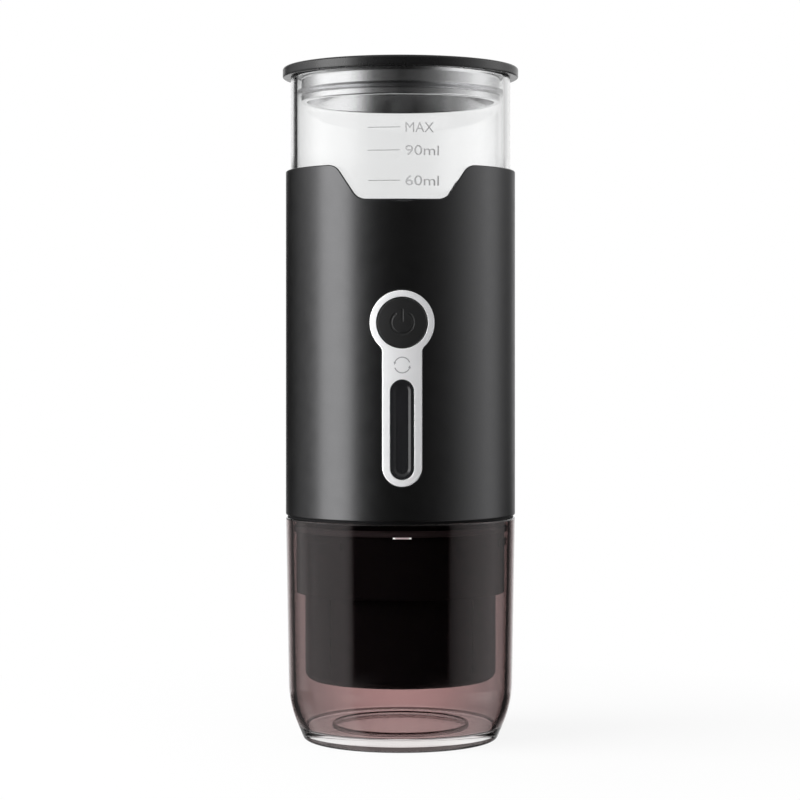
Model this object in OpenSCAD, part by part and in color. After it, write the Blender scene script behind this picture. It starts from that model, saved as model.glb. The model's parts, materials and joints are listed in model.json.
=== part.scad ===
// Portable capsule coffee machine: a clear water tank over a body with pump and cells,
// and a brew head with a capsule holder that hangs inside a smoked drinking cup.
// Millimetres, +Z up, front towards -Y, origin at the centre of the cup's foot.

/* [Body] */
// Outer diameter of the body sleeve and of the cup's rim
body_d = 72; // [70:0.5:80]
// Wall of the body sleeve
sleeve_wall = 1.2; // [0.8:0.1:2]
// Clear height of the bay that holds the pump, the cells and the boards
bay_h = 74; // [72:0.5:90]
// Height of the shadow gap between the sleeve and the cup
seam_h = 0.7; // [0.4:0.1:1.5]
// Wall of the inner chassis
chassis_wall = 1.5; // [1.2:0.1:2]

/* [Tank window] */
// Depth of the window in the sleeve's rim
window_depth = 10.6; // [8:0.2:14]
// Width of the window's flat floor
window_floor_w = 21.6; // [14:0.2:26]
// Slope of the window's sides in degrees
window_slope = 57; // [45:1:75]
// Radius of the window's corners
window_corner_r = 4.4; // [2:0.2:5]

/* [Control panel] */
// Height of the button's centre above the sleeve's lower edge
button_rise = 59.8; // [56:0.2:66]
// Diameter of the power button
button_d = 15.3; // [13:0.1:16.5]
// Travel of the power button
button_travel = 0.8; // [0.4:0.1:1]
// Width of the bezel's ring around the button
bezel_rim = 2.1; // [1.5:0.1:3]
// Width of the bezel's stem
stem_w = 12; // [10.5:0.1:14]
// Distance from the button's centre to the bezel's lower end
stem_drop = 49.2; // [48:0.2:52]
// Radius of the fillet between the bezel's ring and its stem
stem_fillet_r = 2.5; // [1:0.1:4]
// Width of the light bar
bar_w = 7.3; // [6:0.1:8]
// Length of the light bar
bar_l = 30.2; // [22:0.2:31]
// Metal left between the light bar and the bezel's lower end
bar_margin = 2.0; // [1.5:0.1:3]
// How far the bezel stands proud of the sleeve
bezel_proud = 0.5; // [0.2:0.1:1]

/* [Lid] */
// Thickness of the lid
lid_t = 3.2; // [2.4:0.1:5]
// How far the lid overhangs the body
lid_overhang = 1.0; // [0.5:0.1:2]
// Depth of the plug under the lid
plug_depth = 8; // [6.8:0.1:12]
// Wall of the plug
plug_wall = 1.8; // [1.5:0.1:3]
// Gap between the plug and the tank's wall
plug_gap = 1.3; // [0.9:0.1:2]
// Height of the lid's seal ring
lid_seal_h = 1.8; // [1.2:0.1:2.4]
// Distance from the lid's underside to the seal ring
lid_seal_drop = 4.2; // [2:0.1:4.4]

/* [Water tank] */
// Wall of the tank
tank_wall = 2.0; // [1.5:0.1:3]
// Thickness of the tank's floor
tank_floor_t = 2.0; // [1.5:0.1:4]
// How deep the tank sits in the sleeve
tank_depth = 25; // [18:0.5:32]
// How far the tank stands above the sleeve
tank_rise = 29.2; // [22:0.2:40]
// Diameter of the tank's outlet spigot
spigot_d = 10; // [9:0.2:12]
// Length of the tank's outlet spigot
spigot_l = 7; // [6:0.2:8]
// Bore of the tank's outlet spigot
spigot_bore = 6.4; // [5.6:0.1:7]
// Thickness of the seat that the tank stands on
seat_t = 5; // [4.4:0.1:8]

/* [Brew head] */
// Thickness of the brew head's plate
plate_t = 4.4; // [3.8:0.1:6]
// How far the collar reaches below the plate
collar_drop = 23.2; // [18:0.2:26]
// Gap between the collar and the cup's rim
collar_gap = 1.1; // [0.9:0.05:1.6]
// Wall of the collar
collar_wall = 2.5; // [2.2:0.1:3]
// How far the capsule holder reaches below the plate
holder_drop = 50.6; // [48:0.2:54]
// Wall of the capsule holder
holder_wall = 1.8; // [1.4:0.1:2.4]
// Thickness of the capsule holder's floor
holder_floor_t = 2.4; // [1.6:0.1:3]
// Radius of the capsule holder's lower edge
holder_edge_r = 3; // [1.5:0.1:3.4]
// Turn that frees the capsule holder, in degrees
lock_turn = 45; // [36:1:52]
// Diameter of the capsule's rim
capsule_rim_d = 37; // [36:0.1:38]
// Width of the capsule's rim
capsule_rim_w = 3.5; // [3:0.1:4.5]
// Height of the capsule
capsule_h = 28; // [26:0.1:29]

/* [Cup] */
// Height of the cup
cup_h = 69.6; // [67:0.2:80]
// Wall of the cup
cup_wall = 2.2; // [1.6:0.1:3]
// How much the cup's radius shrinks from its rim to its waist
cup_draft = 1.0; // [0.2:0.1:1.4]
// How much the cup's radius shrinks from its waist to its foot
cup_tuck = 4.7; // [2:0.1:7]
// Height of the cup's waist, where the side starts to tuck in
cup_waist_h = 11; // [9:0.2:14]
// Thickness of the cup's floor
cup_floor_t = 4.4; // [3:0.1:6]
// Width of the foot ring
foot_ring_w = 9.2; // [5:0.1:12]
// Depth of the hollow inside the foot ring
foot_hollow = 1.2; // [0.6:0.1:2]

/* [Cells and pump] */
// Gap between a cell and the pump's coil
cell_gap = 1.8; // [1.2:0.1:4]
// Height that the cells leave in the bay for their tray, straps, cap and cable
cell_room = 9; // [8.4:0.1:14]
// Diameter of the pump's coil
coil_d = 25; // [22:0.2:26]
// Height that the coil leaves in the bay for the pump's head, its tube and the hoses
coil_room = 48; // [46:0.2:52]
// Diameter of the pump's plunger
plunger_d = 8.4; // [7:0.1:9]
// Stroke of the plunger to each side of rest
plunger_stroke = 3; // [2:0.1:3.4]

/* [Fits] */
// Clearance between pieces that are fitted together
fit_gap = 0.3; // [0.2:0.05:0.4]
// Clearance round the button, the light bar and the bezel
trim_gap = 0.15; // [0.1:0.05:0.2]

/* [Hidden] */
$fn = 96;

// Heights of the stack, from the table upwards
flange_z = cup_h;
plate_top = flange_z + plate_t;
seat_z = plate_top + bay_h;
tank_z = seat_z + seat_t;
sleeve_z = flange_z + seam_h;
sleeve_top = tank_z + tank_depth;
tank_top = sleeve_top + tank_rise;
tank_floor_z = tank_z + tank_floor_t;
panel_z = sleeve_z + button_rise;

// Radii, from the outside inwards
body_r = body_d / 2;
sleeve_in_r = body_r - sleeve_wall;
core_r = sleeve_in_r - fit_gap;
chassis_in_r = core_r - chassis_wall;
tank_in_r = core_r - tank_wall;
cup_in_r = body_r - cup_wall;
cup_waist_r = body_r - cup_draft;
cup_foot_r = cup_waist_r - cup_tuck;
collar_r = cup_in_r - collar_gap;
collar_in_r = collar_r - collar_wall;
holder_r = collar_in_r - fit_gap;
holder_in_r = holder_r - holder_wall;
plug_r = tank_in_r - plug_gap;

// Edges and small roundings
edge_r = 0.5;
rim_r = 0.8;

// Screws, all of one kind
screw_d = 1.7;
screw_l = 8;
screw_head_d = 4;
screw_head_h = 1.4;
pilot_gap = 0.05;
screw_well_d = screw_head_d + 2 * fit_gap;
screw_well_h = screw_head_h + 0.2;
screw_hole_d = screw_d + 2 * fit_gap;

// Chassis posts that tie the brew head, the chassis and the tank seat together
post_d = 6;
post_pcd_r = collar_in_r - fit_gap - screw_well_d / 2 - 1.2;
post_angles = [45, 135, 225, 315];
rib_t = 2;
post_edge = post_pcd_r * cos(post_angles[0]) - post_d / 2;

// Boards behind the front panel and at the back
board_t = 1.6;
board_w = 30;
board_lift = 6;
board_h = bay_h - 2 * board_lift;
board_inset = 6;
board_y = chassis_in_r - board_inset;
board_z = plate_top + board_lift;
boss_d = 4.4;
boss_x = board_w / 2 - 3;
boss_inset = 4;
boss_rows = [board_z + boss_inset, board_z + board_h - boss_inset];
board_screw_head_d = 3.6;
board_screw_bite = 3;
pilot_spare = 0.5;

// Button and its switch
flange_w = 0.9;
flange_t = 1.0;
button_flange_r = button_d / 2 + flange_w;
button_flange_y = sqrt(pow(sleeve_in_r, 2) - pow(button_flange_r, 2)) - fit_gap;
switch_w = 6;
switch_h = 3.5;
switch_pin_d = 3.4;
switch_pin_seat = 1;
switch_y = board_y + switch_h;

// Bezel and light bar, measured from the button's centre
bezel_r = button_d / 2 + bezel_rim;
bar_offset = -stem_drop + bar_margin + bar_l / 2;
bar_step = 1.0;
lens_back_r = chassis_in_r + 0.4;
dish_depth = 0.5;
led_count = 5;
led_w = 1.6;
led_h = 0.9;
led_inset = 6;

// Bayonet between the capsule holder and the collar
lug_count = 3;
lug_span = 24;
lug_h = 3;
lug_reach = 1.1;
lug_drop = 4.6;
lug_angle = -90 + lug_span;
groove_slack = 4;
entry_slack = 2;
locator_span = 24;
locator_reach = 0.6;
locator_h = 1.8;
locator_drop = 6.4;
locator_angle = -135;

// Cup seal in its groove round the collar
cup_seal_h = 2;
cup_seal_drop = 2.2;
cup_seal_depth = 0.8;

// Capsule chamber, from the holder's floor upwards
holder_z = flange_z - holder_drop;
holder_top_drop = 3.4;
holder_top = flange_z - holder_top_drop;
grip_count = 4;
grip_w = 1.0;
grip_margin = 1.0;
grip_depth = holder_wall / 4;
sump_h = 4;
shelf_w = 2;
shelf_z = holder_z + holder_floor_t + sump_h;
grid_t = 1.5;
grid_z = shelf_z + grid_t;
capsule_gap = 0.5;
capsule_body_d = capsule_rim_d - 2 * capsule_rim_w;
cradle_r = capsule_rim_d / 2 + capsule_gap;
cradle_wall = 2;
cradle_h = 24;
cradle_flange_t = 2.5;
grid_ledge_w = 2.4;
bell_lift = 3;
bell_z = grid_z + bell_lift;
bell_gap = 1.2;
bell_roof = 3;
bell_fit = 0.4;
bell_in_r = capsule_body_d / 2 + bell_fit;
bell_r = cradle_r - bell_gap;
bell_seal_h = 1.4;
bell_seal_w = 2;
bell_taper = 2.2;
bell_roof_z = grid_z + capsule_h + 2;
needle_l = 4;
needle_d = 2.4;
needle_pcd_r = 7;
needle_plate_t = 0.8;
spout_r = 4;
spout_drop = 1.5;

// Battery pack
tray_t = 2;
strap_t = 0.3;
cap_t = 2;
cell_d = chassis_in_r - fit_gap - cell_gap - coil_d / 2;
cell_l = bay_h - cell_room;
cell_x = chassis_in_r - fit_gap - cell_d / 2;
cell_z = plate_top + tray_t + strap_t;
cell_top = cell_z + cell_l;
cell_cup_wall = 1.2;
cell_cup_h = 8;

// Water line and pump, from the brew head upwards
nipple_r = 2.5;
nipple_l = 5;
water_r = 1.25;
hose_gap = 1;
hose_wall = 1.5;
hose_fit = 0.05;
pump_head_r = 8;
pump_head_h = 10;
yoke_t = 1.4;
yoke_w = 18;
yoke_y = coil_d / 2 + fit_gap + yoke_t;
grommet_t = 2;
grommet_r = 11.5;
grommet_bore_r = pump_head_r + 0.6;
tube_wall = 1.7;
tube_top_h = 6;
tube_end_t = 1.5;
coil_l = bay_h - coil_room;
spring_wire = 0.7;
spring_turns = 4;
spring_slack = 0.9;
spring_room = plunger_stroke + (spring_turns + 1) * spring_wire + spring_slack;
outlet_z = plate_top + nipple_l + hose_gap;
pump_head_z = outlet_z + nipple_l;
yoke_z = pump_head_z + pump_head_h;
coil_z = yoke_z + yoke_t;
yoke_top = coil_z + coil_l + yoke_t;
tube_r = plunger_d / 2 + 0.1 + tube_wall;
tube_in_r = tube_r - tube_wall;
tube_top = yoke_top + tube_top_h;
inlet_top = tube_top + nipple_l;
plunger_l = tube_top - yoke_z - 2 * (tube_end_t + spring_room);
plunger_z = yoke_z + tube_end_t + spring_room;
seat_boss_h = 4;
seat_boss_r = spigot_d / 2 + 3;
seat_nipple_z = seat_z - seat_boss_h - nipple_l;

// Plunger springs
spring_rings = 8;
spring_sides = 6;
spring_r = tube_in_r - spring_wire / 2 - 0.25;
spring_end_gap = 0.15;

// Charging socket at the back
socket_w = 8.9;
socket_h = 3.3;
socket_skin = 0.3;
socket_tongue = [6.7, 0.7];
socket_rise = 14;
socket_z = plate_top + socket_rise;
socket_end_r = body_r - 0.4;

// Parts on the inner face of the power board, with their heights above its lower edge
capacitor_d = 8;
capacitor_gap = 2.2;
capacitor_rise = 40;
capacitor_x = 5;
choke_w = 9;
choke_h = 5;
choke_rise = 22;
driver_w = 10;
driver_l = 7;
driver_t = 1.6;
driver_rise = 10;

// Leads and the link cable between the boards
lead_d = 1.6;
lead_sides = 8;
lead_tab = 1.5;
lead_reach = 6.5;
lead_gap = 1;
lead_inset = 2.5;
lead_drop = 8;
cable_t = 0.6;
cable_gap = 1;
cable_post_gap = 0.7;
cable_x = seat_boss_r + cable_gap;
cable_w = post_edge - cable_post_gap - cable_x;
cable_z = cell_top + strap_t + cap_t + cable_gap;
cable_bend_r = 1.5;
cable_end_drop = 1.8;

// Outer radius of a hose
function hose_reach() = nipple_r + hose_fit + hose_wall;

// Points of an arc about a centre
function arc(centre, r, from, to, steps = 10) =
    [for (i = [0:steps]) let (a = from + (to - from) * i / steps) centre + r * [cos(a), sin(a)]];

// A closed outline from corners given as [x, y, radius]
function rounded(corners) =
    let (n = len(corners))
    [for (i = [0:n - 1]) each corner(corners[(i + n - 1) % n], corners[i], corners[(i + 1) % n])];

function flat(p) = [p[0], p[1]];
function unit(v) = v / norm(v);

// The points of one corner, an arc that is tangent to both sides
function corner(before, here, after, steps = 6) =
    let (
        p = flat(here),
        u = unit(flat(before) - p),
        v = unit(flat(after) - p),
        half = acos(u * v) / 2,
        r = here[2]
    )
    r == 0 ? [p] : let (
        centre = p + unit(u + v) * r / sin(half),
        a = p + u * r / tan(half) - centre,
        b = p + v * r / tan(half) - centre,
        from = atan2(a[1], a[0]),
        turn = (atan2(b[1], b[0]) - from + 540) % 360 - 180
    ) arc(centre, r, from, from + turn, steps);

// Corner points and faces of a tube swept along points, each ring square to the path
function along(points, i) =
    unit(points[min(i + 1, len(points) - 1)] - points[max(i - 1, 0)]);
function ring_points(centre, axis, r, sides, up) =
    let (u = unit(cross(up, axis)), v = cross(axis, u))
    [for (k = [0:sides - 1]) centre + r * (cos(360 * k / sides) * u + sin(360 * k / sides) * v)];
function tube_points(points, r, sides, up) =
    [for (i = [0:len(points) - 1]) each ring_points(points[i], along(points, i), r, sides, up)];
function tube_faces(rings, sides) = [
    [for (k = [0:sides - 1]) sides - 1 - k],
    [for (k = [0:sides - 1]) (rings - 1) * sides + k],
    for (i = [0:rings - 2], k = [0:sides - 1])
        let (a = i * sides + k, b = i * sides + (k + 1) % sides)
            each [[a, b, b + sides], [a, b + sides, a + sides]]
];

module swept_tube(points, r, sides, up) {
    polyhedron(tube_points(points, r, sides, up), tube_faces(len(points), sides));
}

// A round solid from an outline of corners
module turned(corners, angle = 360) {
    rotate_extrude(angle = angle) polygon(rounded(corners));
}

module pipe(r, bore, h) {
    difference() {
        cylinder(r = r, h = h);
        translate([0, 0, -1]) cylinder(r = bore, h = h + 2);
    }
}

// A part of a pipe between two angles, for lugs and grooves
module sector(r_in, r_out, h, from, span) {
    linear_extrude(h) intersection() {
        difference() {
            circle(r = r_out);
            circle(r = r_in);
        }
        polygon(concat([[0, 0]], arc([0, 0], 2 * r_out, from, from + span, 3)));
    }
}

// A slot shape with round ends, longer in y
module stadium(w, l) {
    square([w, l - w], center = true);
    for (s = [-1, 1]) translate([0, s * (l - w) / 2]) circle(d = w);
}

// Drawing planes of the front and of the back, at a height, extruded outwards
module on_front(z) {
    translate([0, 0, z]) rotate([90, 0, 0]) children();
}

module on_back(z) {
    translate([0, 0, z]) rotate([90, 0, 180]) children();
}

// Keeps what lies between two radii of the body's axis
module between(r_in, r_out) {
    intersection() {
        children();
        translate([0, 0, flange_z]) pipe(r_out, r_in, tank_top - flange_z);
    }
}

module at_posts() {
    for (a = post_angles) rotate(a) translate([post_pcd_r, 0, 0]) children();
}

module at_bosses() {
    for (x = [-boss_x, boss_x], z = boss_rows) translate([x, z]) children();
}

module at_lugs(angle) {
    for (i = [0:lug_count - 1]) rotate(angle + 360 * i / lug_count) children();
}

module at_cells() {
    for (s = [-1, 1]) translate([s * cell_x, 0, 0]) children();
}

// A screw that points up from its head, with the head's lower face at the origin
module screw() {
    difference() {
        union() {
            cylinder(d = screw_head_d, h = screw_head_h);
            cylinder(d = screw_d, h = screw_head_h + screw_l);
        }
        translate([0, 0, -1]) cylinder(d = screw_d, h = 1 + screw_head_h / 2, $fn = 6);
    }
}

module pilot(depth = screw_l + 1) {
    cylinder(d = screw_d + 2 * pilot_gap, h = depth);
}

// CUP

module cup() {
    inner_waist_r = cup_waist_r - cup_wall;
    floor_corner_r = cup_foot_r + 0.5;
    lean = atan2(cup_tuck, cup_waist_h) - atan2(cup_draft, cup_h - cup_waist_h);
    blend_r = 0.56 * norm([cup_tuck, cup_waist_h]) / tan(lean / 2);
    color([0.36, 0.27, 0.27, 0.5]) turned([
        [0, foot_hollow, 0],
        [cup_foot_r - foot_ring_w, foot_hollow, 0.4],
        [cup_foot_r - foot_ring_w, 0, 0.4],
        [cup_foot_r, 0, 1],
        [cup_waist_r, cup_waist_h, blend_r],
        [body_r, cup_h, edge_r],
        [cup_in_r, cup_h, edge_r],
        [inner_waist_r, cup_waist_h + 0.5, 14],
        [floor_corner_r, cup_floor_t, 1.5],
        [0, cup_floor_t, 0]
    ]);
}

// BREW HEAD

// The screw wells, open below, with their holes through a plate
module screw_wells(plate) {
    at_posts() {
        translate([0, 0, -1]) cylinder(d = screw_well_d, h = 1 + screw_well_h);
        cylinder(d = screw_hole_d, h = plate + 1);
    }
}

// Grooves that the holder's lugs turn in, each with its way in from below
module bayonet_grooves() {
    groove_r = collar_in_r + lug_reach;
    groove_h = lug_h + 2 * fit_gap;
    groove_z = holder_top - lug_drop - fit_gap;
    collar_z = flange_z - collar_drop;
    span = lug_span + groove_slack;
    entry = lug_span + entry_slack;
    entry_h = groove_z + groove_h / 2 - collar_z + 1;
    at_lugs(lug_angle) {
        translate([0, 0, groove_z]) sector(holder_in_r, groove_r, groove_h, -span / 2, span + lock_turn);
        translate([0, 0, collar_z - 1])
            sector(holder_in_r, groove_r, entry_h, lock_turn - entry / 2, entry);
    }
}

module brew_head() {
    seal_z = flange_z - cup_seal_drop - cup_seal_h;
    color([0.05, 0.05, 0.05]) difference() {
        union() {
            turned([
                [collar_in_r, flange_z - collar_drop, edge_r],
                [collar_r, flange_z - collar_drop, edge_r],
                [collar_r, flange_z, 0],
                [sleeve_in_r + sleeve_wall / 2, flange_z, 0],
                [sleeve_in_r + sleeve_wall / 2, sleeve_z, 0],
                [core_r, sleeve_z, 0],
                [core_r, plate_top, 0],
                [0, plate_top, 0],
                [0, flange_z, 0],
                [collar_in_r, flange_z, 0]
            ]);
            translate([0, 0, plate_top]) cylinder(r = nipple_r, h = nipple_l);
            at_lugs(locator_angle - locator_span / 2)
                translate([0, 0, flange_z - locator_drop - locator_h])
                    sector(collar_r - collar_wall / 4, collar_r + locator_reach, locator_h, 0, locator_span);
        }
        bayonet_grooves();
        translate([0, 0, seal_z]) pipe(collar_r + 1, collar_r - cup_seal_depth, cup_seal_h);
        translate([0, 0, flange_z]) screw_wells(plate_t);
        translate([0, 0, flange_z - 1]) cylinder(r = water_r, h = plate_t + nipple_l + 2);
    }
}

module head_screws() {
    color([0.6, 0.6, 0.62]) at_posts() translate([0, 0, flange_z + screw_well_h - screw_head_h]) screw();
}

module cup_seal() {
    seal_z = flange_z - cup_seal_drop - cup_seal_h;
    drawn_in = cup_draft * (cup_seal_drop + cup_seal_h) / (cup_h - cup_waist_h);
    lip_r = cup_in_r - drawn_in - fit_gap / 2;
    slack = 0.1;
    color([0.15, 0.15, 0.15]) turned([
        [collar_r - cup_seal_depth + slack, seal_z + slack, 0],
        [lip_r, seal_z + slack, 0.3],
        [lip_r, seal_z + cup_seal_h - slack, 0.3],
        [collar_r - cup_seal_depth + slack, seal_z + cup_seal_h - slack, 0]
    ]);
}

// The bell covers the capsule and carries its needles
module piercing_bell() {
    stem_r = 5;
    color([0.62, 0.63, 0.65]) turned([
        [bell_in_r, bell_z, 0],
        [bell_r, bell_z, 0],
        [bell_r, bell_roof_z - 4, 2],
        [bell_r - bell_taper, bell_roof_z + bell_roof, 2],
        [stem_r, bell_roof_z + bell_roof, 0],
        [stem_r, flange_z, 0],
        [water_r, flange_z, 0],
        [water_r, bell_roof_z, 0],
        [bell_in_r - bell_taper, bell_roof_z, 0]
    ]);
}

module piercing_needles() {
    plate_r = bell_in_r - bell_taper - fit_gap;
    plate_z = bell_roof_z - needle_plate_t;
    color([0.8, 0.8, 0.82]) {
        translate([0, 0, plate_z]) pipe(plate_r, water_r, needle_plate_t);
        for (i = [0:2]) rotate(120 * i) translate([needle_pcd_r, 0, plate_z]) {
            translate([0, 0, -needle_l]) cylinder(d1 = 0.2, d2 = needle_d, h = needle_l);
            cylinder(d = needle_d, h = needle_plate_t / 2);
        }
    }
}

module capsule_seal() {
    color([0.75, 0.2, 0.15])
        translate([0, 0, bell_z - bell_seal_h]) pipe(bell_r, bell_r - bell_seal_w, bell_seal_h);
}

// CAPSULE HOLDER

// Grooves that give the fingers a hold, between the collar's end and the holder's lower edge
module holder_grips() {
    low = holder_z + holder_edge_r + grip_margin;
    high = flange_z - collar_drop - grip_margin;
    for (i = [0:grip_count - 1]) rotate(360 * (i + 0.5) / grip_count)
        translate([holder_r - grip_depth, -grip_w / 2, low]) cube([holder_wall, grip_w, high - low]);
}

module holder_shell() {
    color([0.06, 0.06, 0.06]) {
        difference() {
            turned([
                [spout_r + fit_gap / 2, holder_z, 0],
                [holder_r, holder_z, holder_edge_r],
                [holder_r, holder_top, edge_r],
                [holder_in_r, holder_top, edge_r],
                [holder_in_r, shelf_z, 0],
                [holder_in_r - shelf_w, shelf_z, 0],
                [holder_in_r - shelf_w, holder_z + holder_floor_t, 1.5],
                [spout_r + fit_gap / 2, holder_z + holder_floor_t, 0]
            ]);
            holder_grips();
        }
        at_lugs(lug_angle - lug_span / 2)
            translate([0, 0, holder_top - lug_drop])
                sector(holder_r - holder_wall / 2, collar_in_r + lug_reach - fit_gap, lug_h, 0, lug_span);
    }
}

module capsule_cradle() {
    color([0.1, 0.1, 0.1]) turned([
        [cradle_r - grid_ledge_w, shelf_z - 1.5, 0],
        [cradle_r + cradle_wall, shelf_z - 1.5, 0],
        [cradle_r + cradle_wall, shelf_z, 0],
        [holder_in_r - fit_gap / 2, shelf_z, 0],
        [holder_in_r - fit_gap / 2, shelf_z + cradle_flange_t, 0.4],
        [cradle_r + cradle_wall, shelf_z + cradle_flange_t, 0.6],
        [cradle_r + cradle_wall, shelf_z + cradle_h, 0.4],
        [cradle_r, shelf_z + cradle_h, 0.6],
        [cradle_r, shelf_z, 0],
        [cradle_r - grid_ledge_w, shelf_z, 0]
    ]);
}

module extraction_grid() {
    hole_d = 1.2;
    ring_step = 4.2;
    color([0.8, 0.8, 0.82]) difference() {
        translate([0, 0, shelf_z]) cylinder(r = cradle_r - fit_gap / 2, h = grid_t);
        for (ring = [0:3], i = [0:max(1, 6 * ring) - 1])
            rotate(360 * i / max(1, 6 * ring)) translate([ring_step * ring, 0, shelf_z - 1])
                cylinder(d = hole_d, h = grid_t + 2, $fn = 16);
    }
}

module spout() {
    flange_r = spout_r + 2;
    floor_z = holder_z + holder_floor_t;
    color([0.06, 0.06, 0.06]) turned([
        [spout_r - 1.4, holder_z - spout_drop, 0],
        [spout_r - 0.4, holder_z - spout_drop, 0.3],
        [spout_r, holder_z, 0],
        [spout_r, floor_z, 0],
        [flange_r, floor_z, 0],
        [flange_r, floor_z + 1.2, 0.4],
        [spout_r - 1.4, floor_z + 1.2, 0.4]
    ]);
}

// BODY SLEEVE AND CHASSIS

// Outline that is cut out of the sleeve's rim, with the rim at y = 0
module window_outline() {
    r = window_corner_r;
    a = window_slope;
    low_x = window_floor_w / 2;
    high_x = low_x + 2 * r * sin(a) + (window_depth - 2 * r * (1 - cos(a))) / tan(a);
    side = concat(
        arc([low_x, r - window_depth], r, -90, a - 90),
        arc([high_x, -r], r, a + 90, 90)
    );
    left = [for (i = [len(side) - 1:-1:0]) [-side[i][0], side[i][1]]];
    polygon(concat([[-high_x, 1]], left, side, [[high_x, 1]]));
}

// Outline of the bezel, with the button's centre at the origin
module keyhole(grow = 0) {
    ring = bezel_r + grow;
    half = stem_w / 2 + grow;
    fillet = stem_fillet_r - grow;
    low = half - stem_drop - grow;
    centre = [half + fillet, -sqrt(pow(ring + fillet, 2) - pow(half + fillet, 2))];
    lean = atan2(centre[1], centre[0]);
    side = concat(arc([0, 0], ring, 90, lean, 28), arc(centre, fillet, lean + 180, 180, 6));
    end = arc([0, low], half, 0, -180, 24);
    left = [for (i = [len(side) - 1:-1:1]) [-side[i][0], side[i][1]]];
    polygon(concat(side, end, left));
}

module socket_outline(grow = 0) {
    rotate(90) stadium(socket_h + 2 * grow, socket_w + 2 * grow);
}

module body_sleeve() {
    color([0.07, 0.07, 0.075]) difference() {
        turned([
            [sleeve_in_r, sleeve_z, 0],
            [body_r, sleeve_z, edge_r],
            [body_r, sleeve_top, edge_r],
            [sleeve_in_r, sleeve_top, 0]
        ]);
        on_front(sleeve_top) linear_extrude(2 * body_d, center = true) window_outline();
        on_front(panel_z) linear_extrude(body_d) keyhole(trim_gap);
        on_back(socket_z) linear_extrude(body_d) socket_outline(fit_gap);
    }
}

// Walls, posts and ribs of the chassis before it is split and cut
module chassis_frame() {
    translate([0, 0, plate_top]) {
        pipe(core_r, chassis_in_r, bay_h);
        at_posts() {
            cylinder(d = post_d, h = bay_h);
            translate([0, -rib_t / 2, 0]) cube([chassis_in_r + chassis_wall / 2 - post_pcd_r, rib_t, bay_h]);
        }
    }
}

module chassis_pilots() {
    translate([0, 0, plate_top - 1]) at_posts() pilot();
    translate([0, 0, seat_z + 1]) mirror([0, 0, 1]) at_posts() pilot();
}

// Bosses that carry a board, from the wall to the board's outer face
module board_bosses() {
    root_y = sqrt(pow(chassis_in_r + chassis_wall / 4, 2) - pow(boss_x, 2));
    translate([0, 0, board_y]) linear_extrude(root_y - board_y) at_bosses() circle(d = boss_d);
}

module board_pilots() {
    translate([0, 0, board_y - 1]) at_bosses_3d() pilot(1 + board_screw_bite + pilot_spare);
}

module at_bosses_3d() {
    for (x = [-boss_x, boss_x], z = boss_rows) translate([x, z, 0]) children();
}

module half_space(side) {
    translate([-body_d, side < 0 ? -body_d : 0, 0]) cube([2 * body_d, body_d, 2 * tank_top]);
}

module chassis_front() {
    color([0.16, 0.16, 0.17]) difference() {
        union() {
            intersection() {
                chassis_frame();
                half_space(-1);
            }
            on_front(0) board_bosses();
        }
        chassis_pilots();
        on_front(0) board_pilots();
        on_front(panel_z) {
            cylinder(r = button_flange_r + fit_gap, h = body_d);
            translate([0, bar_offset]) linear_extrude(body_d) stadium(bar_w + 2 * flange_w + 2 * fit_gap,
                bar_l + 2 * flange_w + 2 * fit_gap);
        }
    }
}

module chassis_rear() {
    color([0.16, 0.16, 0.17]) difference() {
        union() {
            intersection() {
                chassis_frame();
                half_space(1);
            }
            on_back(0) board_bosses();
        }
        chassis_pilots();
        on_back(0) board_pilots();
        on_back(socket_z) linear_extrude(body_d) socket_outline(fit_gap);
    }
}

// CONTROL PANEL

module bezel() {
    color([0.86, 0.86, 0.87]) between(sleeve_in_r, body_r + bezel_proud)
        on_front(panel_z) linear_extrude(body_d) difference() {
            keyhole();
            circle(d = button_d + 2 * trim_gap);
            translate([0, bar_offset]) stadium(bar_w, bar_l);
        }
}

// Dark lens with a shallow dish along its front and a flange behind the bezel
module light_bar_lens() {
    inner = 2 * trim_gap;
    color([0.1, 0.1, 0.11]) difference() {
        union() {
            between(lens_back_r, body_r + bezel_proud / 2) on_front(panel_z) translate([0, bar_offset])
                linear_extrude(body_d) stadium(bar_w - inner, bar_l - inner);
            between(lens_back_r, sleeve_in_r - trim_gap) on_front(panel_z) translate([0, bar_offset])
                linear_extrude(body_d) stadium(bar_w + 2 * flange_w, bar_l + 2 * flange_w);
        }
        between(body_r + bezel_proud / 2 - dish_depth, body_d) on_front(panel_z) translate([0, bar_offset])
            linear_extrude(body_d) stadium(bar_w - 2 * bar_step, bar_l - 2 * bar_step);
    }
}

// White block that spreads the light, on two feet that stand on the board
module light_guide() {
    guide_w = bar_w - 2 * bar_step;
    guide_l = bar_l - 4;
    foot_l = 2;
    front_y = lens_back_r - fit_gap - 0.2;
    back_y = board_y + led_h + fit_gap;
    color([0.92, 0.92, 0.9]) on_front(panel_z + bar_offset) {
        translate([0, 0, back_y]) linear_extrude(front_y - back_y) stadium(guide_w, guide_l);
        for (s = [-1, 1]) translate([0, s * (guide_l - foot_l - 1) / 2, (board_y + back_y + 1) / 2])
            cube([guide_w / 2, foot_l, back_y + 1 - board_y], center = true);
    }
}

module power_button() {
    front_r = body_r + bezel_proud / 2;
    back_y = button_flange_y - flange_t;
    color([0.04, 0.04, 0.045]) intersection() {
        on_front(panel_z) {
            translate([0, 0, back_y]) cylinder(d = button_d, h = body_d);
            translate([0, 0, back_y]) cylinder(r = button_flange_r, h = flange_t);
        }
        translate([0, 0, flange_z]) cylinder(r = front_r, h = tank_top - flange_z);
    }
}

module switch_pin() {
    pin_end = switch_y - switch_pin_seat;
    color([0.1, 0.1, 0.1]) on_front(panel_z) translate([0, 0, pin_end])
        cylinder(d = switch_pin_d, h = button_flange_y - flange_t - pin_end);
}

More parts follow.
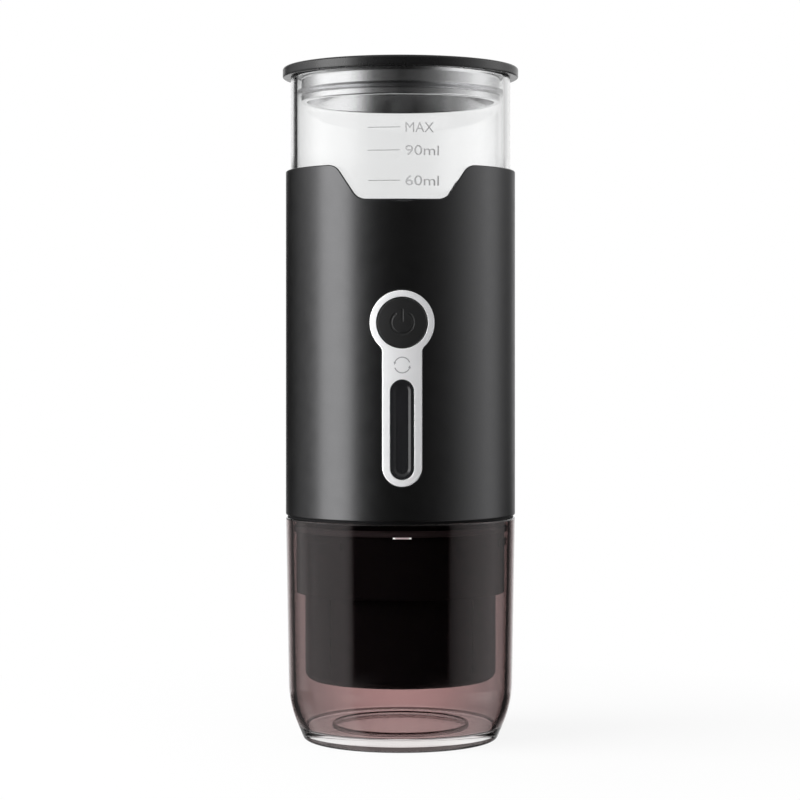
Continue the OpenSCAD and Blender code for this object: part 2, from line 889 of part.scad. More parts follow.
module board() {
    color([0.05, 0.3, 0.16]) translate([0, 0, board_y - board_t]) linear_extrude(board_t) difference() {
        translate([-board_w / 2, board_z]) square([board_w, board_h]);
        at_bosses() circle(d = screw_hole_d);
    }
}

module board_screws() {
    color([0.6, 0.6, 0.62]) translate([0, 0, board_y - board_t - screw_head_h]) at_bosses_3d()
        difference() {
            union() {
                cylinder(d = board_screw_head_d, h = screw_head_h);
                cylinder(d = screw_d, h = screw_head_h + board_t + board_screw_bite);
            }
            translate([0, 0, -1]) cylinder(d = screw_d, h = 1 + screw_head_h / 2, $fn = 6);
        }
}

module control_board() {
    on_front(0) board();
}

module control_board_screws() {
    on_front(0) board_screws();
}

module tact_switch() {
    pin_room = switch_pin_seat + button_travel + fit_gap;
    color([0.2, 0.2, 0.22]) on_front(panel_z) difference() {
        translate([-switch_w / 2, -switch_w / 2, board_y]) cube([switch_w, switch_w, switch_h]);
        translate([0, 0, switch_y - pin_room]) cylinder(d = switch_pin_d + 2 * trim_gap, h = pin_room + 1);
    }
}

module indicator_leds() {
    pitch = (bar_l - 2 * led_inset) / (led_count - 1);
    color([0.95, 0.95, 0.85]) on_front(panel_z + bar_offset) for (i = [0:led_count - 1])
        translate([-led_w / 2, (i - (led_count - 1) / 2) * pitch - led_w / 2, board_y])
            cube([led_w, led_w, led_h]);
}

// POWER BOARD

module power_board() {
    on_back(0) board();
}

module power_board_screws() {
    on_back(0) board_screws();
}

module charge_socket() {
    root_t = 2;
    color([0.75, 0.75, 0.77]) on_back(socket_z) difference() {
        translate([0, 0, board_y]) linear_extrude(socket_end_r - board_y) socket_outline();
        translate([0, 0, board_y + root_t]) linear_extrude(body_d) difference() {
            socket_outline(-socket_skin);
            square(socket_tongue, center = true);
        }
    }
}

// Two capacitors, a choke and a driver on the inner face of the power board
module power_components() {
    face_y = board_y - board_t;
    capacitor_l = face_y - yoke_y - capacitor_gap;
    color([0.18, 0.2, 0.28]) on_back(0) {
        for (s = [-1, 1]) translate([s * capacitor_x, board_z + capacitor_rise, face_y - capacitor_l])
            cylinder(d = capacitor_d, h = capacitor_l);
        translate([-choke_w / 2, board_z + choke_rise, face_y - choke_h]) cube([choke_w, choke_w, choke_h]);
        translate([-driver_w / 2, board_z + driver_rise, face_y - driver_t])
            cube([driver_w, driver_l, driver_t]);
    }
}

// Flat cable from board to board, over the top of the battery pack
module link_cable() {
    inner_y = board_y - board_t;
    end_z = board_z + board_h - cable_end_drop;
    bend_r = cable_bend_r;
    color([0.85, 0.85, 0.86]) translate([cable_x + cable_w / 2, 0, 0]) rotate([90, 0, -90])
        linear_extrude(cable_w, center = true) difference() {
            polygon(rounded([
                [-inner_y, end_z, 0], [-inner_y, cable_z + cable_t, bend_r + cable_t],
                [inner_y, cable_z + cable_t, bend_r + cable_t], [inner_y, end_z, 0]
            ]));
            polygon(rounded([
                [-inner_y + cable_t, end_z - 1, 0], [-inner_y + cable_t, cable_z, bend_r],
                [inner_y - cable_t, cable_z, bend_r], [inner_y - cable_t, end_z - 1, 0]
            ]));
        }
}

// BATTERY PACK

module battery_tray() {
    bore_r = pump_head_r + 0.6;
    post_h = yoke_z - grommet_t - plate_top;
    color([0.2, 0.2, 0.21]) translate([0, 0, plate_top]) difference() {
        union() {
            intersection() {
                cylinder(r = chassis_in_r - fit_gap, h = tray_t);
                translate([0, 0, tray_t / 2])
                    cube([2 * chassis_in_r, cell_d + 2 * cell_cup_wall, tray_t], center = true);
            }
            intersection() {
                at_cells() cylinder(d = cell_d + 2 * fit_gap + 2 * cell_cup_wall, h = cell_cup_h);
                cylinder(r = chassis_in_r - fit_gap / 2, h = cell_cup_h);
            }
            cylinder(r = grommet_r, h = post_h);
        }
        at_cells() translate([0, 0, tray_t]) cylinder(d = cell_d + fit_gap, h = cell_l);
        translate([0, 0, -1]) cylinder(r = bore_r, h = post_h + 2);
    }
}

module battery_cells() {
    button_h = 1.2;
    color([0.16, 0.3, 0.55]) translate([0, 0, cell_z]) at_cells() {
        cylinder(d = cell_d, h = cell_l - button_h);
        cylinder(d = cell_d / 3, h = cell_l);
    }
}

// Nickel straps under the cells and on their tops, with a tab for each lead
module cell_straps() {
    strap_w = 8;
    tab_l = cell_d / 2 + 3;
    color([0.78, 0.77, 0.72]) {
        translate([0, 0, plate_top + tray_t]) at_cells() cylinder(d = strap_w, h = strap_t);
        translate([0, 0, cell_top]) at_cells()
            translate([-strap_w / 2, -strap_w / 2, 0]) cube([strap_w, strap_w / 2 + tab_l, strap_t]);
    }
}

module battery_cap() {
    bridge_w = 15;
    color([0.2, 0.2, 0.21]) translate([0, 0, cell_top + strap_t]) difference() {
        union() {
            intersection() {
                at_cells() cylinder(d = cell_d, h = cap_t);
                cylinder(r = chassis_in_r - fit_gap, h = cap_t);
            }
            translate([-cell_x, -bridge_w / 2, 0]) cube([2 * cell_x, bridge_w, cap_t]);
        }
        translate([0, 0, -1]) cylinder(r = hose_reach() + 1, h = cap_t + 2);
    }
}

// A lead from each strap's tab, bent over to the power board
module battery_leads() {
    r = lead_d / 2;
    start = [cell_x, cell_d / 2 + lead_tab, cell_top + strap_t];
    end = [board_w / 2 - lead_inset, board_y - board_t, board_z + board_h - lead_drop];
    knee = [cell_x - lead_reach, start[1] + 1.3, start[2] + 2.2];
    pass = [post_edge - r - lead_gap, knee[1] + 5, start[2] - 0.6];
    color([0.7, 0.12, 0.1]) for (s = [-1, 1]) {
        path = [
            for (p = [
                start, start + [0, 0, 1], start + [-1.2, 0.2, 2], start + [-3, 0.6, 2.3],
                knee, pass, [end[0] + 0.4, end[1] - 4.4, end[2] + 3],
                end + [0.1, -3, 0.8], end + [0, -1.2, 0], end
            ]) [s * p[0], p[1], p[2]]
        ];
        swept_tube(path, r, lead_sides, [s, 0.3, 0.2]);
    }
}

// PUMP AND WATER LINE

module hose(z, h) {
    color([0.85, 0.86, 0.88]) translate([0, 0, z]) pipe(hose_reach(), nipple_r + hose_fit, h);
}

module delivery_hose() {
    hose(plate_top + hose_gap / 2, 2 * nipple_l);
}

module suction_hose() {
    low = tube_top + hose_gap / 2;
    hose(low, seat_z - seat_boss_h - hose_gap / 2 - low);
}

module pump_head() {
    chamber_r = 3.4;
    color([0.82, 0.82, 0.8]) difference() {
        union() {
            translate([0, 0, outlet_z]) cylinder(r = nipple_r, h = nipple_l);
            translate([0, 0, pump_head_z]) cylinder(r = pump_head_r, h = pump_head_h);
        }
        translate([0, 0, outlet_z - 1]) cylinder(r = water_r, h = nipple_l + 4);
        translate([0, 0, pump_head_z + 2]) cylinder(r = chamber_r, h = pump_head_h);
    }
}

// Duckbill that lets the water out of the pump only
module outlet_valve() {
    foot_r = 3.3;
    bill_r = 1.6;
    top_z = yoke_z;
    color([0.8, 0.35, 0.2]) turned([
        [water_r - 0.2, pump_head_z + 3.5, 0],
        [bill_r, pump_head_z + 3.5, 0],
        [foot_r - 0.6, top_z - 2, 0],
        [foot_r, top_z - 2, 0],
        [foot_r, top_z, 0],
        [water_r, top_z, 0]
    ]);
}

module pump_grommet() {
    color([0.12, 0.12, 0.12]) translate([0, 0, yoke_z - grommet_t])
        pipe(grommet_r, grommet_bore_r, grommet_t);
}

// Steel loop round the coil, open at its two sides
module pump_yoke() {
    deep = 2 * (yoke_y - yoke_t);
    high = coil_l + 2 * yoke_t;
    color([0.55, 0.56, 0.58]) translate([0, 0, yoke_z]) difference() {
        translate([-yoke_w / 2, -yoke_y, 0]) cube([yoke_w, 2 * yoke_y, high]);
        translate([-yoke_w, -deep / 2, yoke_t]) cube([2 * yoke_w, deep, coil_l]);
        translate([0, 0, -1]) cylinder(r = tube_r + hose_fit, h = high + 2);
    }
}

module pump_coil() {
    flange_h = 1.5;
    waist_r = coil_d / 2 - 1;
    bore_r = tube_r + hose_fit;
    color([0.62, 0.3, 0.14]) translate([0, 0, coil_z]) turned([
        [bore_r, 0, 0],
        [coil_d / 2, 0, 0],
        [coil_d / 2, flange_h, 0],
        [waist_r, flange_h, 0],
        [waist_r, coil_l - flange_h, 0],
        [coil_d / 2, coil_l - flange_h, 0],
        [coil_d / 2, coil_l, 0],
        [bore_r, coil_l, 0]
    ]);
}

// Tube that guides the plunger, with the inlet nipple on top
module pump_tube() {
    color([0.7, 0.71, 0.72]) difference() {
        union() {
            translate([0, 0, yoke_z]) cylinder(r = tube_r, h = tube_top - yoke_z);
            translate([0, 0, tube_top]) cylinder(r = nipple_r, h = nipple_l);
        }
        translate([0, 0, yoke_z + tube_end_t])
            cylinder(r = tube_in_r, h = tube_top - yoke_z - 2 * tube_end_t);
        translate([0, 0, yoke_z - 1]) cylinder(r = water_r, h = inlet_top - yoke_z + 2);
    }
}

module pump_plunger() {
    color([0.75, 0.76, 0.78]) translate([0, 0, plunger_z]) pipe(plunger_d / 2, water_r, plunger_l);
}

// A coil spring that stands on its lower end
module spring(z, h) {
    rise = h - spring_wire - 2 * spring_end_gap;
    steps = spring_turns * spring_rings;
    path = [
        for (i = [0:steps])
            let (a = 360 * spring_turns * i / steps)
            [spring_r * cos(a), spring_r * sin(a), z + spring_end_gap + spring_wire / 2 + rise * i / steps]
    ];
    pitch_gap = rise / spring_turns - spring_wire;
    echo("least gap between the turns of a plunger spring", pitch_gap);
    color([0.7, 0.7, 0.72]) swept_tube(path, spring_wire / 2, spring_sides, [0, 0, 1]);
}

module lower_spring() {
    low = yoke_z + tube_end_t;
    spring(low, plunger_z - low);
}

module upper_spring() {
    low = plunger_z + plunger_l;
    spring(low, tube_top - tube_end_t - low);
}

// WATER TANK

module tank_seat() {
    socket_r = spigot_d / 2 + fit_gap;
    socket_z0 = tank_z - spigot_l - fit_gap;
    groove_r = socket_r + 1.7;
    groove_h = 2;
    color([0.14, 0.14, 0.15]) difference() {
        union() {
            translate([0, 0, seat_z]) cylinder(r = core_r, h = seat_t);
            translate([0, 0, seat_z - seat_boss_h]) cylinder(r = seat_boss_r, h = seat_boss_h);
            translate([0, 0, seat_nipple_z]) cylinder(r = nipple_r, h = nipple_l);
        }
        translate([0, 0, socket_z0]) cylinder(r = socket_r, h = spigot_l + 2);
        translate([0, 0, seat_z + 1]) cylinder(r = groove_r, h = groove_h);
        translate([0, 0, seat_nipple_z - 1]) cylinder(r = water_r, h = nipple_l + seat_boss_h + 2);
        translate([0, 0, tank_z]) mirror([0, 0, 1]) screw_wells(seat_t);
    }
}

module spigot_seal() {
    wire_r = 0.8;
    seal_r = spigot_d / 2 + 0.2 + wire_r;
    color([0.75, 0.2, 0.15]) translate([0, 0, seat_z + 1 + wire_r + 0.1])
        rotate_extrude() translate([seal_r, 0]) circle(r = wire_r, $fn = 24);
}

module seat_screws() {
    color([0.6, 0.6, 0.62]) at_posts()
        translate([0, 0, tank_z - screw_well_h + screw_head_h]) mirror([0, 0, 1]) screw();
}

module water_tank() {
    spigot_r = spigot_d / 2;
    color([0.93, 0.95, 0.96, 0.3]) turned([
        [spigot_bore / 2, tank_z - spigot_l, 0],
        [spigot_r, tank_z - spigot_l, edge_r],
        [spigot_r, tank_z, 0],
        [core_r, tank_z, 1.2],
        [core_r, tank_top, edge_r],
        [tank_in_r, tank_top, edge_r],
        [tank_in_r, tank_floor_z, 2],
        [spigot_bore / 2, tank_floor_z, 0]
    ]);
}

// Perforated cap over the tank's outlet
module inlet_strainer() {
    strainer_r = spigot_bore / 2 + 3;
    strainer_t = 0.6;
    hole_d = 1;
    color([0.8, 0.8, 0.82]) difference() {
        translate([0, 0, tank_floor_z]) cylinder(r = strainer_r, h = strainer_t);
        for (ring = [0:1], i = [0:max(1, 6 * ring) - 1])
            rotate(360 * i / max(1, 6 * ring)) translate([2 * ring, 0, tank_floor_z - 1])
                cylinder(d = hole_d, h = strainer_t + 2, $fn = 16);
    }
}

// Duckbill in the spigot that closes when the tank is lifted out
module tank_valve() {
    foot_r = spigot_bore / 2 - 0.1;
    color([0.85, 0.86, 0.88]) translate([0, 0, tank_z - spigot_l + 0.5]) turned([
        [0.8, 0, 0],
        [1.4, 0, 0],
        [foot_r - 0.8, 3, 0],
        [foot_r, 3, 0],
        [foot_r, 5, 0],
        [foot_r - 1, 5, 0],
        [foot_r - 1, 3.6, 0]
    ]);
}

// LID

module lid_cap() {
    lid_r = body_r + lid_overhang;
    color([0.03, 0.03, 0.035]) turned([
        [0, tank_top, 0],
        [lid_r, tank_top, edge_r],
        [lid_r, tank_top + lid_t, rim_r],
        [0, tank_top + lid_t, 0]
    ]);
}

module lid_plug() {
    roof_t = 1.4;
    groove_depth = plug_wall / 2;
    groove_top = tank_top - lid_seal_drop;
    color([0.72, 0.73, 0.74]) turned([
        [plug_r - plug_wall, tank_top - plug_depth, 0.4],
        [plug_r, tank_top - plug_depth, 0.4],
        [plug_r, groove_top - lid_seal_h, 0],
        [plug_r - groove_depth, groove_top - lid_seal_h, 0],
        [plug_r - groove_depth, groove_top, 0],
        [plug_r, groove_top, 0],
        [plug_r, tank_top, 0],
        [0, tank_top, 0],
        [0, tank_top - roof_t, 0],
        [plug_r - plug_wall, tank_top - roof_t, 0]
    ]);
}

module lid_seal() {
    slack = 0.1;
    in_r = plug_r - plug_wall / 2 + slack;
    lip_r = tank_in_r - fit_gap / 2;
    top = tank_top - lid_seal_drop - slack;
    low = tank_top - lid_seal_drop - lid_seal_h + slack;
    color([0.3, 0.3, 0.31]) turned([
        [in_r, low, 0], [lip_r, low, 0.4], [lip_r, top, 0.4], [in_r, top, 0]
    ]);
}

cup();
brew_head();
head_screws();
cup_seal();
piercing_bell();
piercing_needles();
capsule_seal();
holder_shell();
capsule_cradle();
extraction_grid();
spout();
body_sleeve();
chassis_front();
chassis_rear();
bezel();
light_bar_lens();
light_guide();
power_button();
switch_pin();
control_board();
tact_switch();
indicator_leds();
control_board_screws();
power_board();
charge_socket();
power_components();
power_board_screws();
link_cable();
battery_tray();
battery_cells();
cell_straps();
battery_cap();
battery_leads();
delivery_hose();
pump_head();
outlet_valve();
pump_grommet();
pump_yoke();
pump_coil();
pump_tube();
pump_plunger();
lower_spring();
upper_spring();
suction_hose();
tank_seat();
spigot_seal();
seat_screws();
water_tank();
inlet_strainer();
tank_valve();
lid_cap();
lid_plug();
lid_seal();
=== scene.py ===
import json
import math

import bpy
import numpy as np
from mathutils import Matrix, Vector, geometry

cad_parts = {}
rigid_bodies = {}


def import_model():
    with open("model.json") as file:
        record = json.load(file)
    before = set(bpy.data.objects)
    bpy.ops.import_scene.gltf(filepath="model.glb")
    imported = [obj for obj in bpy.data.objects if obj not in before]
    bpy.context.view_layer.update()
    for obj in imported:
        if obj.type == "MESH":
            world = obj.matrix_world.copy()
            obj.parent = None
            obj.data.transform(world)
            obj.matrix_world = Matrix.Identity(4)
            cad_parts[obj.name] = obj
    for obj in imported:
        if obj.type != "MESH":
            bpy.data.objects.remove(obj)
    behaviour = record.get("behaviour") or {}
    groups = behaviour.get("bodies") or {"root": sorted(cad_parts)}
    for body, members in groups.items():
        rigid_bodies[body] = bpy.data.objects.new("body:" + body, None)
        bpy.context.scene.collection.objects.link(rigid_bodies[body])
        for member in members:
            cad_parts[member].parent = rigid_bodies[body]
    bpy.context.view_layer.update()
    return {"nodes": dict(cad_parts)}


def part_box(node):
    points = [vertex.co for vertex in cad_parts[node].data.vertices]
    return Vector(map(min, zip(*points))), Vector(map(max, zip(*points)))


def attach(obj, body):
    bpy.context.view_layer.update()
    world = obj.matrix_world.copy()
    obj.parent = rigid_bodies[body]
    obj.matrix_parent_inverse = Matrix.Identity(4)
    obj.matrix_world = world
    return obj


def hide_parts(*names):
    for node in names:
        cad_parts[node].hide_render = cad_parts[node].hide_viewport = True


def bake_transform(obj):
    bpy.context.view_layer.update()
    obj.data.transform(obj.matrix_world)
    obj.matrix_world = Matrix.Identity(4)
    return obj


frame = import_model()

# THE CUP
# A drinking cup of clear smoked plastic, moulded in one piece with a thick floor and a foot ring.
# It stands on the table and carries the whole machine on its rim.

mm = 0.001


def corner_arc(before, here, after, radius, steps):
    """Points of a rounding that is tangent to both sides of a corner."""
    corner = Vector(here)
    back = (Vector(before) - corner).normalized()
    ahead = (Vector(after) - corner).normalized()
    half = back.angle(ahead) / 2
    centre = corner + (back + ahead).normalized() * radius / math.sin(half)
    first = corner + back * radius / math.tan(half) - centre
    last = corner + ahead * radius / math.tan(half) - centre
    start = math.atan2(first.y, first.x)
    turn = (math.atan2(last.y, last.x) - start + 3 * math.pi) % math.tau - math.pi
    angles = [start + turn * i / steps for i in range(steps + 1)]
    return [centre + radius * Vector((math.cos(a), math.sin(a))) for a in angles]


def turned_profile(corners, sharp=0.08 * mm, hold=0.2 * mm, sharp_steps=3, round_steps=10):
    """A closed outline of (radius, height), from corners given as (radius, height, rounding).

    A rounding of 0 gives a barely eased edge. A corner on the axis, or one whose rounding is None,
    is taken as it is. Points beside each arc keep the sides straight."""
    stretches = []
    for i, (r, z, radius) in enumerate(corners):
        if r == 0 or radius is None:
            stretches.append([Vector((r, z))])
            continue
        radius = radius or sharp
        steps = sharp_steps if radius <= sharp else round_steps
        back, ahead = corners[i - 1][:2], corners[(i + 1) % len(corners)][:2]
        stretches.append(corner_arc(back, (r, z), ahead, radius, steps))
    points = []
    for i, stretch in enumerate(stretches):
        points += stretch
        start, end = stretch[-1], stretches[(i + 1) % len(stretches)][0]
        if (end - start).length > 4 * hold:
            step = (end - start).normalized() * hold
            points += [start + step, end - step]
    return points


def link_mesh(name, points, faces, material):
    """A new smooth mesh object with one material."""
    mesh = bpy.data.meshes.new(name)
    mesh.from_pydata([tuple(p) for p in points], [], faces)
    mesh.polygons.foreach_set("use_smooth", [True] * len(mesh.polygons))
    mesh.materials.append(material)
    piece = bpy.data.objects.new(name, mesh)
    bpy.context.scene.collection.objects.link(piece)
    return piece


def turned(name, corners, material, around=288):
    """A round piece from an outline that runs counter-clockwise in radius and height."""
    profile = turned_profile(corners)
    points, rings = [], []
    for p in profile:
        start = len(points)
        if p.x == 0:
            points.append((0, 0, p.y))
            rings.append([start] * around)
            continue
        angles = [math.tau * k / around for k in range(around)]
        points += [(p.x * math.cos(a), p.x * math.sin(a), p.y) for a in angles]
        rings.append(list(range(start, start + around)))
    faces = []
    for low, high in zip(rings, rings[1:] + rings[:1]):
        for k in range(around):
            n = (k + 1) % around
            face = list(dict.fromkeys([low[k], low[n], high[n], high[k]]))
            if len(face) > 2:
                faces.append(face)
    return link_mesh(name, points, faces, material)


def node_finish(name, **sockets):
    """A new material with constants set on its shader."""
    material = bpy.data.materials.new(name)
    material.use_nodes = True
    shader = material.node_tree.nodes["Principled BSDF"]
    for socket, value in sockets.items():
        shader.inputs[socket.replace("_", " ")].default_value = value
    return material, material.node_tree, shader


def noise(tree, scale, detail=2.0, stretch=(1, 1, 1)):
    """Noise in the object's own metres."""
    place = tree.nodes.new("ShaderNodeTexCoord")
    mapping = tree.nodes.new("ShaderNodeMapping")
    mapping.inputs["Scale"].default_value = stretch
    texture = tree.nodes.new("ShaderNodeTexNoise")
    texture.inputs["Scale"].default_value = scale
    texture.inputs["Detail"].default_value = detail
    tree.links.new(place.outputs["Object"], mapping.inputs["Vector"])
    tree.links.new(mapping.outputs["Vector"], texture.inputs["Vector"])
    return texture.outputs["Fac"]


def mapped(tree, value, start, end, low=0.0, high=1.0):
    """Takes a stretch of a value to another range, and holds it at both ends."""
    spread = tree.nodes.new("ShaderNodeMapRange")
    for socket, number in (("From Min", start), ("From Max", end), ("To Min", low), ("To Max", high)):
        spread.inputs[socket].default_value = number
    tree.links.new(value, spread.inputs["Value"])
    return spread.outputs["Result"]


def vary(tree, value, low, high, socket, least=0.3, most=0.7):
    """Drives a socket between two numbers, over the range in which noise mostly lies."""
    tree.links.new(mapped(tree, value, least, most, low, high), socket)


def shades(tree, value, stops):
    """Colours along a value, from pairs of a place and a colour."""
    ramp = tree.nodes.new("ShaderNodeValToRGB")
    elements = ramp.color_ramp.elements
    elements.remove(elements[1])
    for i, (place, colour) in enumerate(stops):
        stop = elements.new(place) if i else elements[0]
        stop.position = place
        stop.color = (*colour, 1)
    tree.links.new(value, ramp.inputs["Fac"])
    return ramp.outputs["Color"]


def mottle(tree, value, colour, spread, shader):
    """Varies the base colour a little to both sides."""
    dark, light = ([min(1, c * tone) for c in colour] for tone in (1 - spread, 1 + spread))
    tree.links.new(shades(tree, value, ((0, dark), (1, light))), shader.inputs["Base Color"])


def relief(tree, value, depth, shader):
    """Raises the surface by a height in metres."""
    bump = tree.nodes.new("ShaderNodeBump")
    bump.inputs["Distance"].default_value = depth
    tree.links.new(value, bump.inputs["Height"])
    tree.links.new(bump.outputs["Normal"], shader.inputs["Normal"])


def polish(tree, shader):
    """The gloss of a polished mould, with a few duller clouds."""
    vary(tree, noise(tree, scale=60), 0.0, 0.025, shader.inputs["Roughness"])


def clear_plastic(name, tint, waves, slant_tints=(), highlight_below=None):
    """Polished clear plastic with a faint moulding waviness.

    The tint can deepen where the wall is seen at a slant, as the way through it is longer there,
    and it then fades to clear downwards over a stretch of height: a painted highlight for the light
    that the foot throws up from the table."""
    material, tree, shader = node_finish(name, Base_Color=(*tint, 1), Transmission_Weight=1.0, IOR=1.5)
    if slant_tints:
        place = tree.nodes.new("ShaderNodeTexCoord")
        height = tree.nodes.new("ShaderNodeSeparateXYZ")
        slant = tree.nodes.new("ShaderNodeLayerWeight")
        mix = tree.nodes.new("ShaderNodeMix")
        mix.data_type = "RGBA"
        untinted, tinted, result = mix.inputs[6], mix.inputs[7], mix.outputs[2]
        untinted.default_value = (*CLEAR, 1)
        tree.links.new(place.outputs["Object"], height.inputs["Vector"])
        tree.links.new(mapped(tree, height.outputs["Z"], *highlight_below), mix.inputs["Factor"])
        tree.links.new(shades(tree, slant.outputs["Facing"], slant_tints), tinted)
        tree.links.new(result, shader.inputs["Base Color"])
    polish(tree, shader)
    relief(tree, noise(tree, scale=45, detail=0.0), waves, shader)
    return material


def painted_shade_plastic(name, outer_shade, inner_colour):
    """Clear plastic at a moulded edge, one colour for its outer side and one for its inner side; the dark
    ones are painted shade.
    """
    material, tree, shader = node_finish(name, Transmission_Weight=1.0, IOR=1.5)
    side = tree.nodes.new("ShaderNodeNewGeometry")
    tints = shades(tree, side.outputs["Backfacing"], ((0, outer_shade), (1, inner_colour)))
    tree.links.new(tints, shader.inputs["Base Color"])
    polish(tree, shader)
    return material


CLEAR = (0.95, 0.935, 0.93)
SMOKE = (0.57, 0.44, 0.435)
# Painted shade for the cup's moulded edges, and a painted contact shadow on the outside of the foot's
# standing face.
EDGE_PAINTED_SHADE = (0.07, 0.045, 0.045)
FOOT_PAINTED_SHADOW = (0.02, 0.015, 0.015)
# The wall's tint by how far it turns from the eye, from square on at 0 to edge on at 1.
SMOKE_WALL = (
    (0.0, (0.66, 0.50, 0.495)),
    (0.22, (0.46, 0.36, 0.356)),
    (0.32, (0.38, 0.30, 0.298)),
    (0.5, (0.36, 0.29, 0.287)),
)

cup_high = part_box("cup")[1]
cup_r = cup_high.x
cup_h = cup_high.z
cup_wall = 2.2 * mm
cup_inner_r = cup_r - cup_wall
cup_rim_round = 0.5 * mm
cup_draft = 1.0 * mm
cup_waist_r = cup_r - cup_draft
cup_waist_h = 11 * mm
cup_waist_round = 34 * mm
cup_waist_lift = 0.45 * mm
cup_tuck = 4.7 * mm
cup_foot_r = cup_waist_r - cup_tuck
cup_foot_w = 9.2 * mm
cup_foot_round = 1.6 * mm
cup_foot_inner_r = cup_foot_r - cup_foot_w
cup_foot_hollow = 1.2 * mm
cup_hollow_round = 0.4 * mm
cup_floor_t = 4.4 * mm
cup_floor_inset = 0.5 * mm
cup_floor_r = cup_foot_r - cup_floor_inset
cup_floor_round = 1.2 * mm
cup_ring_r = 21.0 * mm
cup_ring_w = 0.9 * mm
cup_ring_h = 0.7 * mm
cup_ring_root_round = 0.2 * mm
cup_ring_top_round = 0.3 * mm
cup_ring_top = cup_floor_t + cup_ring_h
cup_ring_out, cup_ring_in = cup_ring_r + cup_ring_w / 2, cup_ring_r - cup_ring_w / 2
# The foot's outer face up to this height takes the painted contact shadow.
cup_dark_h = 2.0 * mm
cup_dark_r = cup_foot_r + cup_tuck * cup_dark_h / cup_waist_h
cup_shade_w = 0.7 * mm
# Low on the cup the tint fades out, a painted highlight for the light that the foot throws up from the
# table.
cup_highlight_fade = (2.5 * mm, 5.5 * mm)
cup_waves = 0.002 * mm
cup = turned("drinking_cup", [
    (0, cup_foot_hollow, 0),
    (cup_foot_inner_r, cup_foot_hollow, cup_hollow_round),
    (cup_foot_inner_r, 0, cup_hollow_round),
    (cup_foot_r, 0, cup_foot_round),
    (cup_dark_r, cup_dark_h, None),
    (cup_waist_r, cup_waist_h, cup_waist_round),
    (cup_r, cup_h, cup_rim_round),
    (cup_inner_r, cup_h, cup_rim_round),
    (cup_waist_r - cup_wall, cup_waist_h + cup_waist_lift, cup_waist_round - cup_wall),
    (cup_floor_r, cup_floor_t, cup_floor_round),
    (cup_ring_out, cup_floor_t, cup_ring_root_round),
    (cup_ring_out, cup_ring_top, cup_ring_top_round),
    (cup_ring_in, cup_ring_top, cup_ring_top_round),
    (cup_ring_in, cup_floor_t, cup_ring_root_round),
    (0, cup_floor_t, 0),
], clear_plastic("smoked_wall", SMOKE, cup_waves, SMOKE_WALL, cup_highlight_fade))
cup.visible_shadow = False
# The moulded edges and the foot's standing face look dark, because little light comes through there. Their
# dark colours are painted shade, and on the standing face a painted contact shadow.
level_face, shade_edge_index, foot_shadow_index = 1, 2, 3
cup.data.materials.append(clear_plastic("smoked_floor", SMOKE, cup_waves, ((0, SMOKE),), cup_highlight_fade))
cup.data.materials.append(painted_shade_plastic("edge_painted_shade", EDGE_PAINTED_SHADE, EDGE_PAINTED_SHADE))
cup.data.materials.append(painted_shade_plastic("foot_painted_shadow", FOOT_PAINTED_SHADOW, CLEAR))
cup_edges = (
    (cup_foot_inner_r, 0),
    (cup_foot_inner_r, cup_foot_hollow),
    (cup_floor_r, cup_floor_t),
    (cup_ring_r, cup_ring_top),
)
level_enough = 0.7
for face in cup.data.polygons:
    r, z = math.hypot(face.center.x, face.center.y), face.center.z
    if r > cup_foot_inner_r and z < cup_dark_h:
        face.material_index = foot_shadow_index
    elif min(math.dist((r, z), edge) for edge in cup_edges) < cup_shade_w:
        face.material_index = shade_edge_index
    elif abs(face.normal.z) > level_enough:
        face.material_index = level_face
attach(cup, "cup")
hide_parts("cup")

# THE LINE ON THE CUP
# A short white line, printed on the front just under the rim.
# It shows which way round the machine stands on the cup.


def stadium(width, length, centre=(0, 0), steps=16):
    """A slot with round ends, longer in height, counter-clockwise."""
    r = width / 2
    half = length / 2 - r
    ends = [(half, 0), (-half, math.pi)]
    angles = [math.pi * i / steps for i in range(steps + 1)]
    return [
        (centre[0] + r * math.cos(a + start), centre[1] + shift + r * math.sin(a + start))
        for shift, start in ends for a in angles
    ]


def lying(outline, centre):
    """An outline round the origin, turned to lie across and moved to a place."""
    return [(centre[0] - z, centre[1] + x) for x, z in outline]


def rounding(radius, depth, steps=4):
    """Rings of a rounded front edge and a straight wall, as (outwards, deep, tilt)."""
    tilts = [math.pi / 2 * i / steps for i in range(steps + 1)]
    rings = [(-radius * (1 - math.sin(t)), radius * (1 - math.cos(t)), t) for t in tilts]
    return rings + [(0, depth, math.pi / 2)]


def outline_normals(points, open_steps):
    """Directions out of the material at the points of an outline that has the material on its left."""
    count = len(points)
    sides = []
    for i in range(count):
        a, b = points[i], points[(i + 1) % count]
        side = Vector((b[1] - a[1], a[0] - b[0]))
        sides.append(Vector((0, 0)) if i in open_steps else side.normalized())
    return [(sides[i - 1] + sides[i]).normalized() for i in range(count)]


def inside(points, loops):
    """Whether points lie in the area that closed outlines enclose."""
    hits = np.zeros(len(points), bool)
    for loop in loops:
        a = np.array(loop)
        b = np.roll(a, -1, axis=0)
        for (ax, az), (bx, bz) in zip(a, b):
            if az == bz:
                continue
            spans = (az > points[:, 1]) != (bz > points[:, 1])
            cross = ax + (points[:, 1] - az) * (bx - ax) / (bz - az)
            hits ^= spans & (points[:, 0] < cross)
    return hits


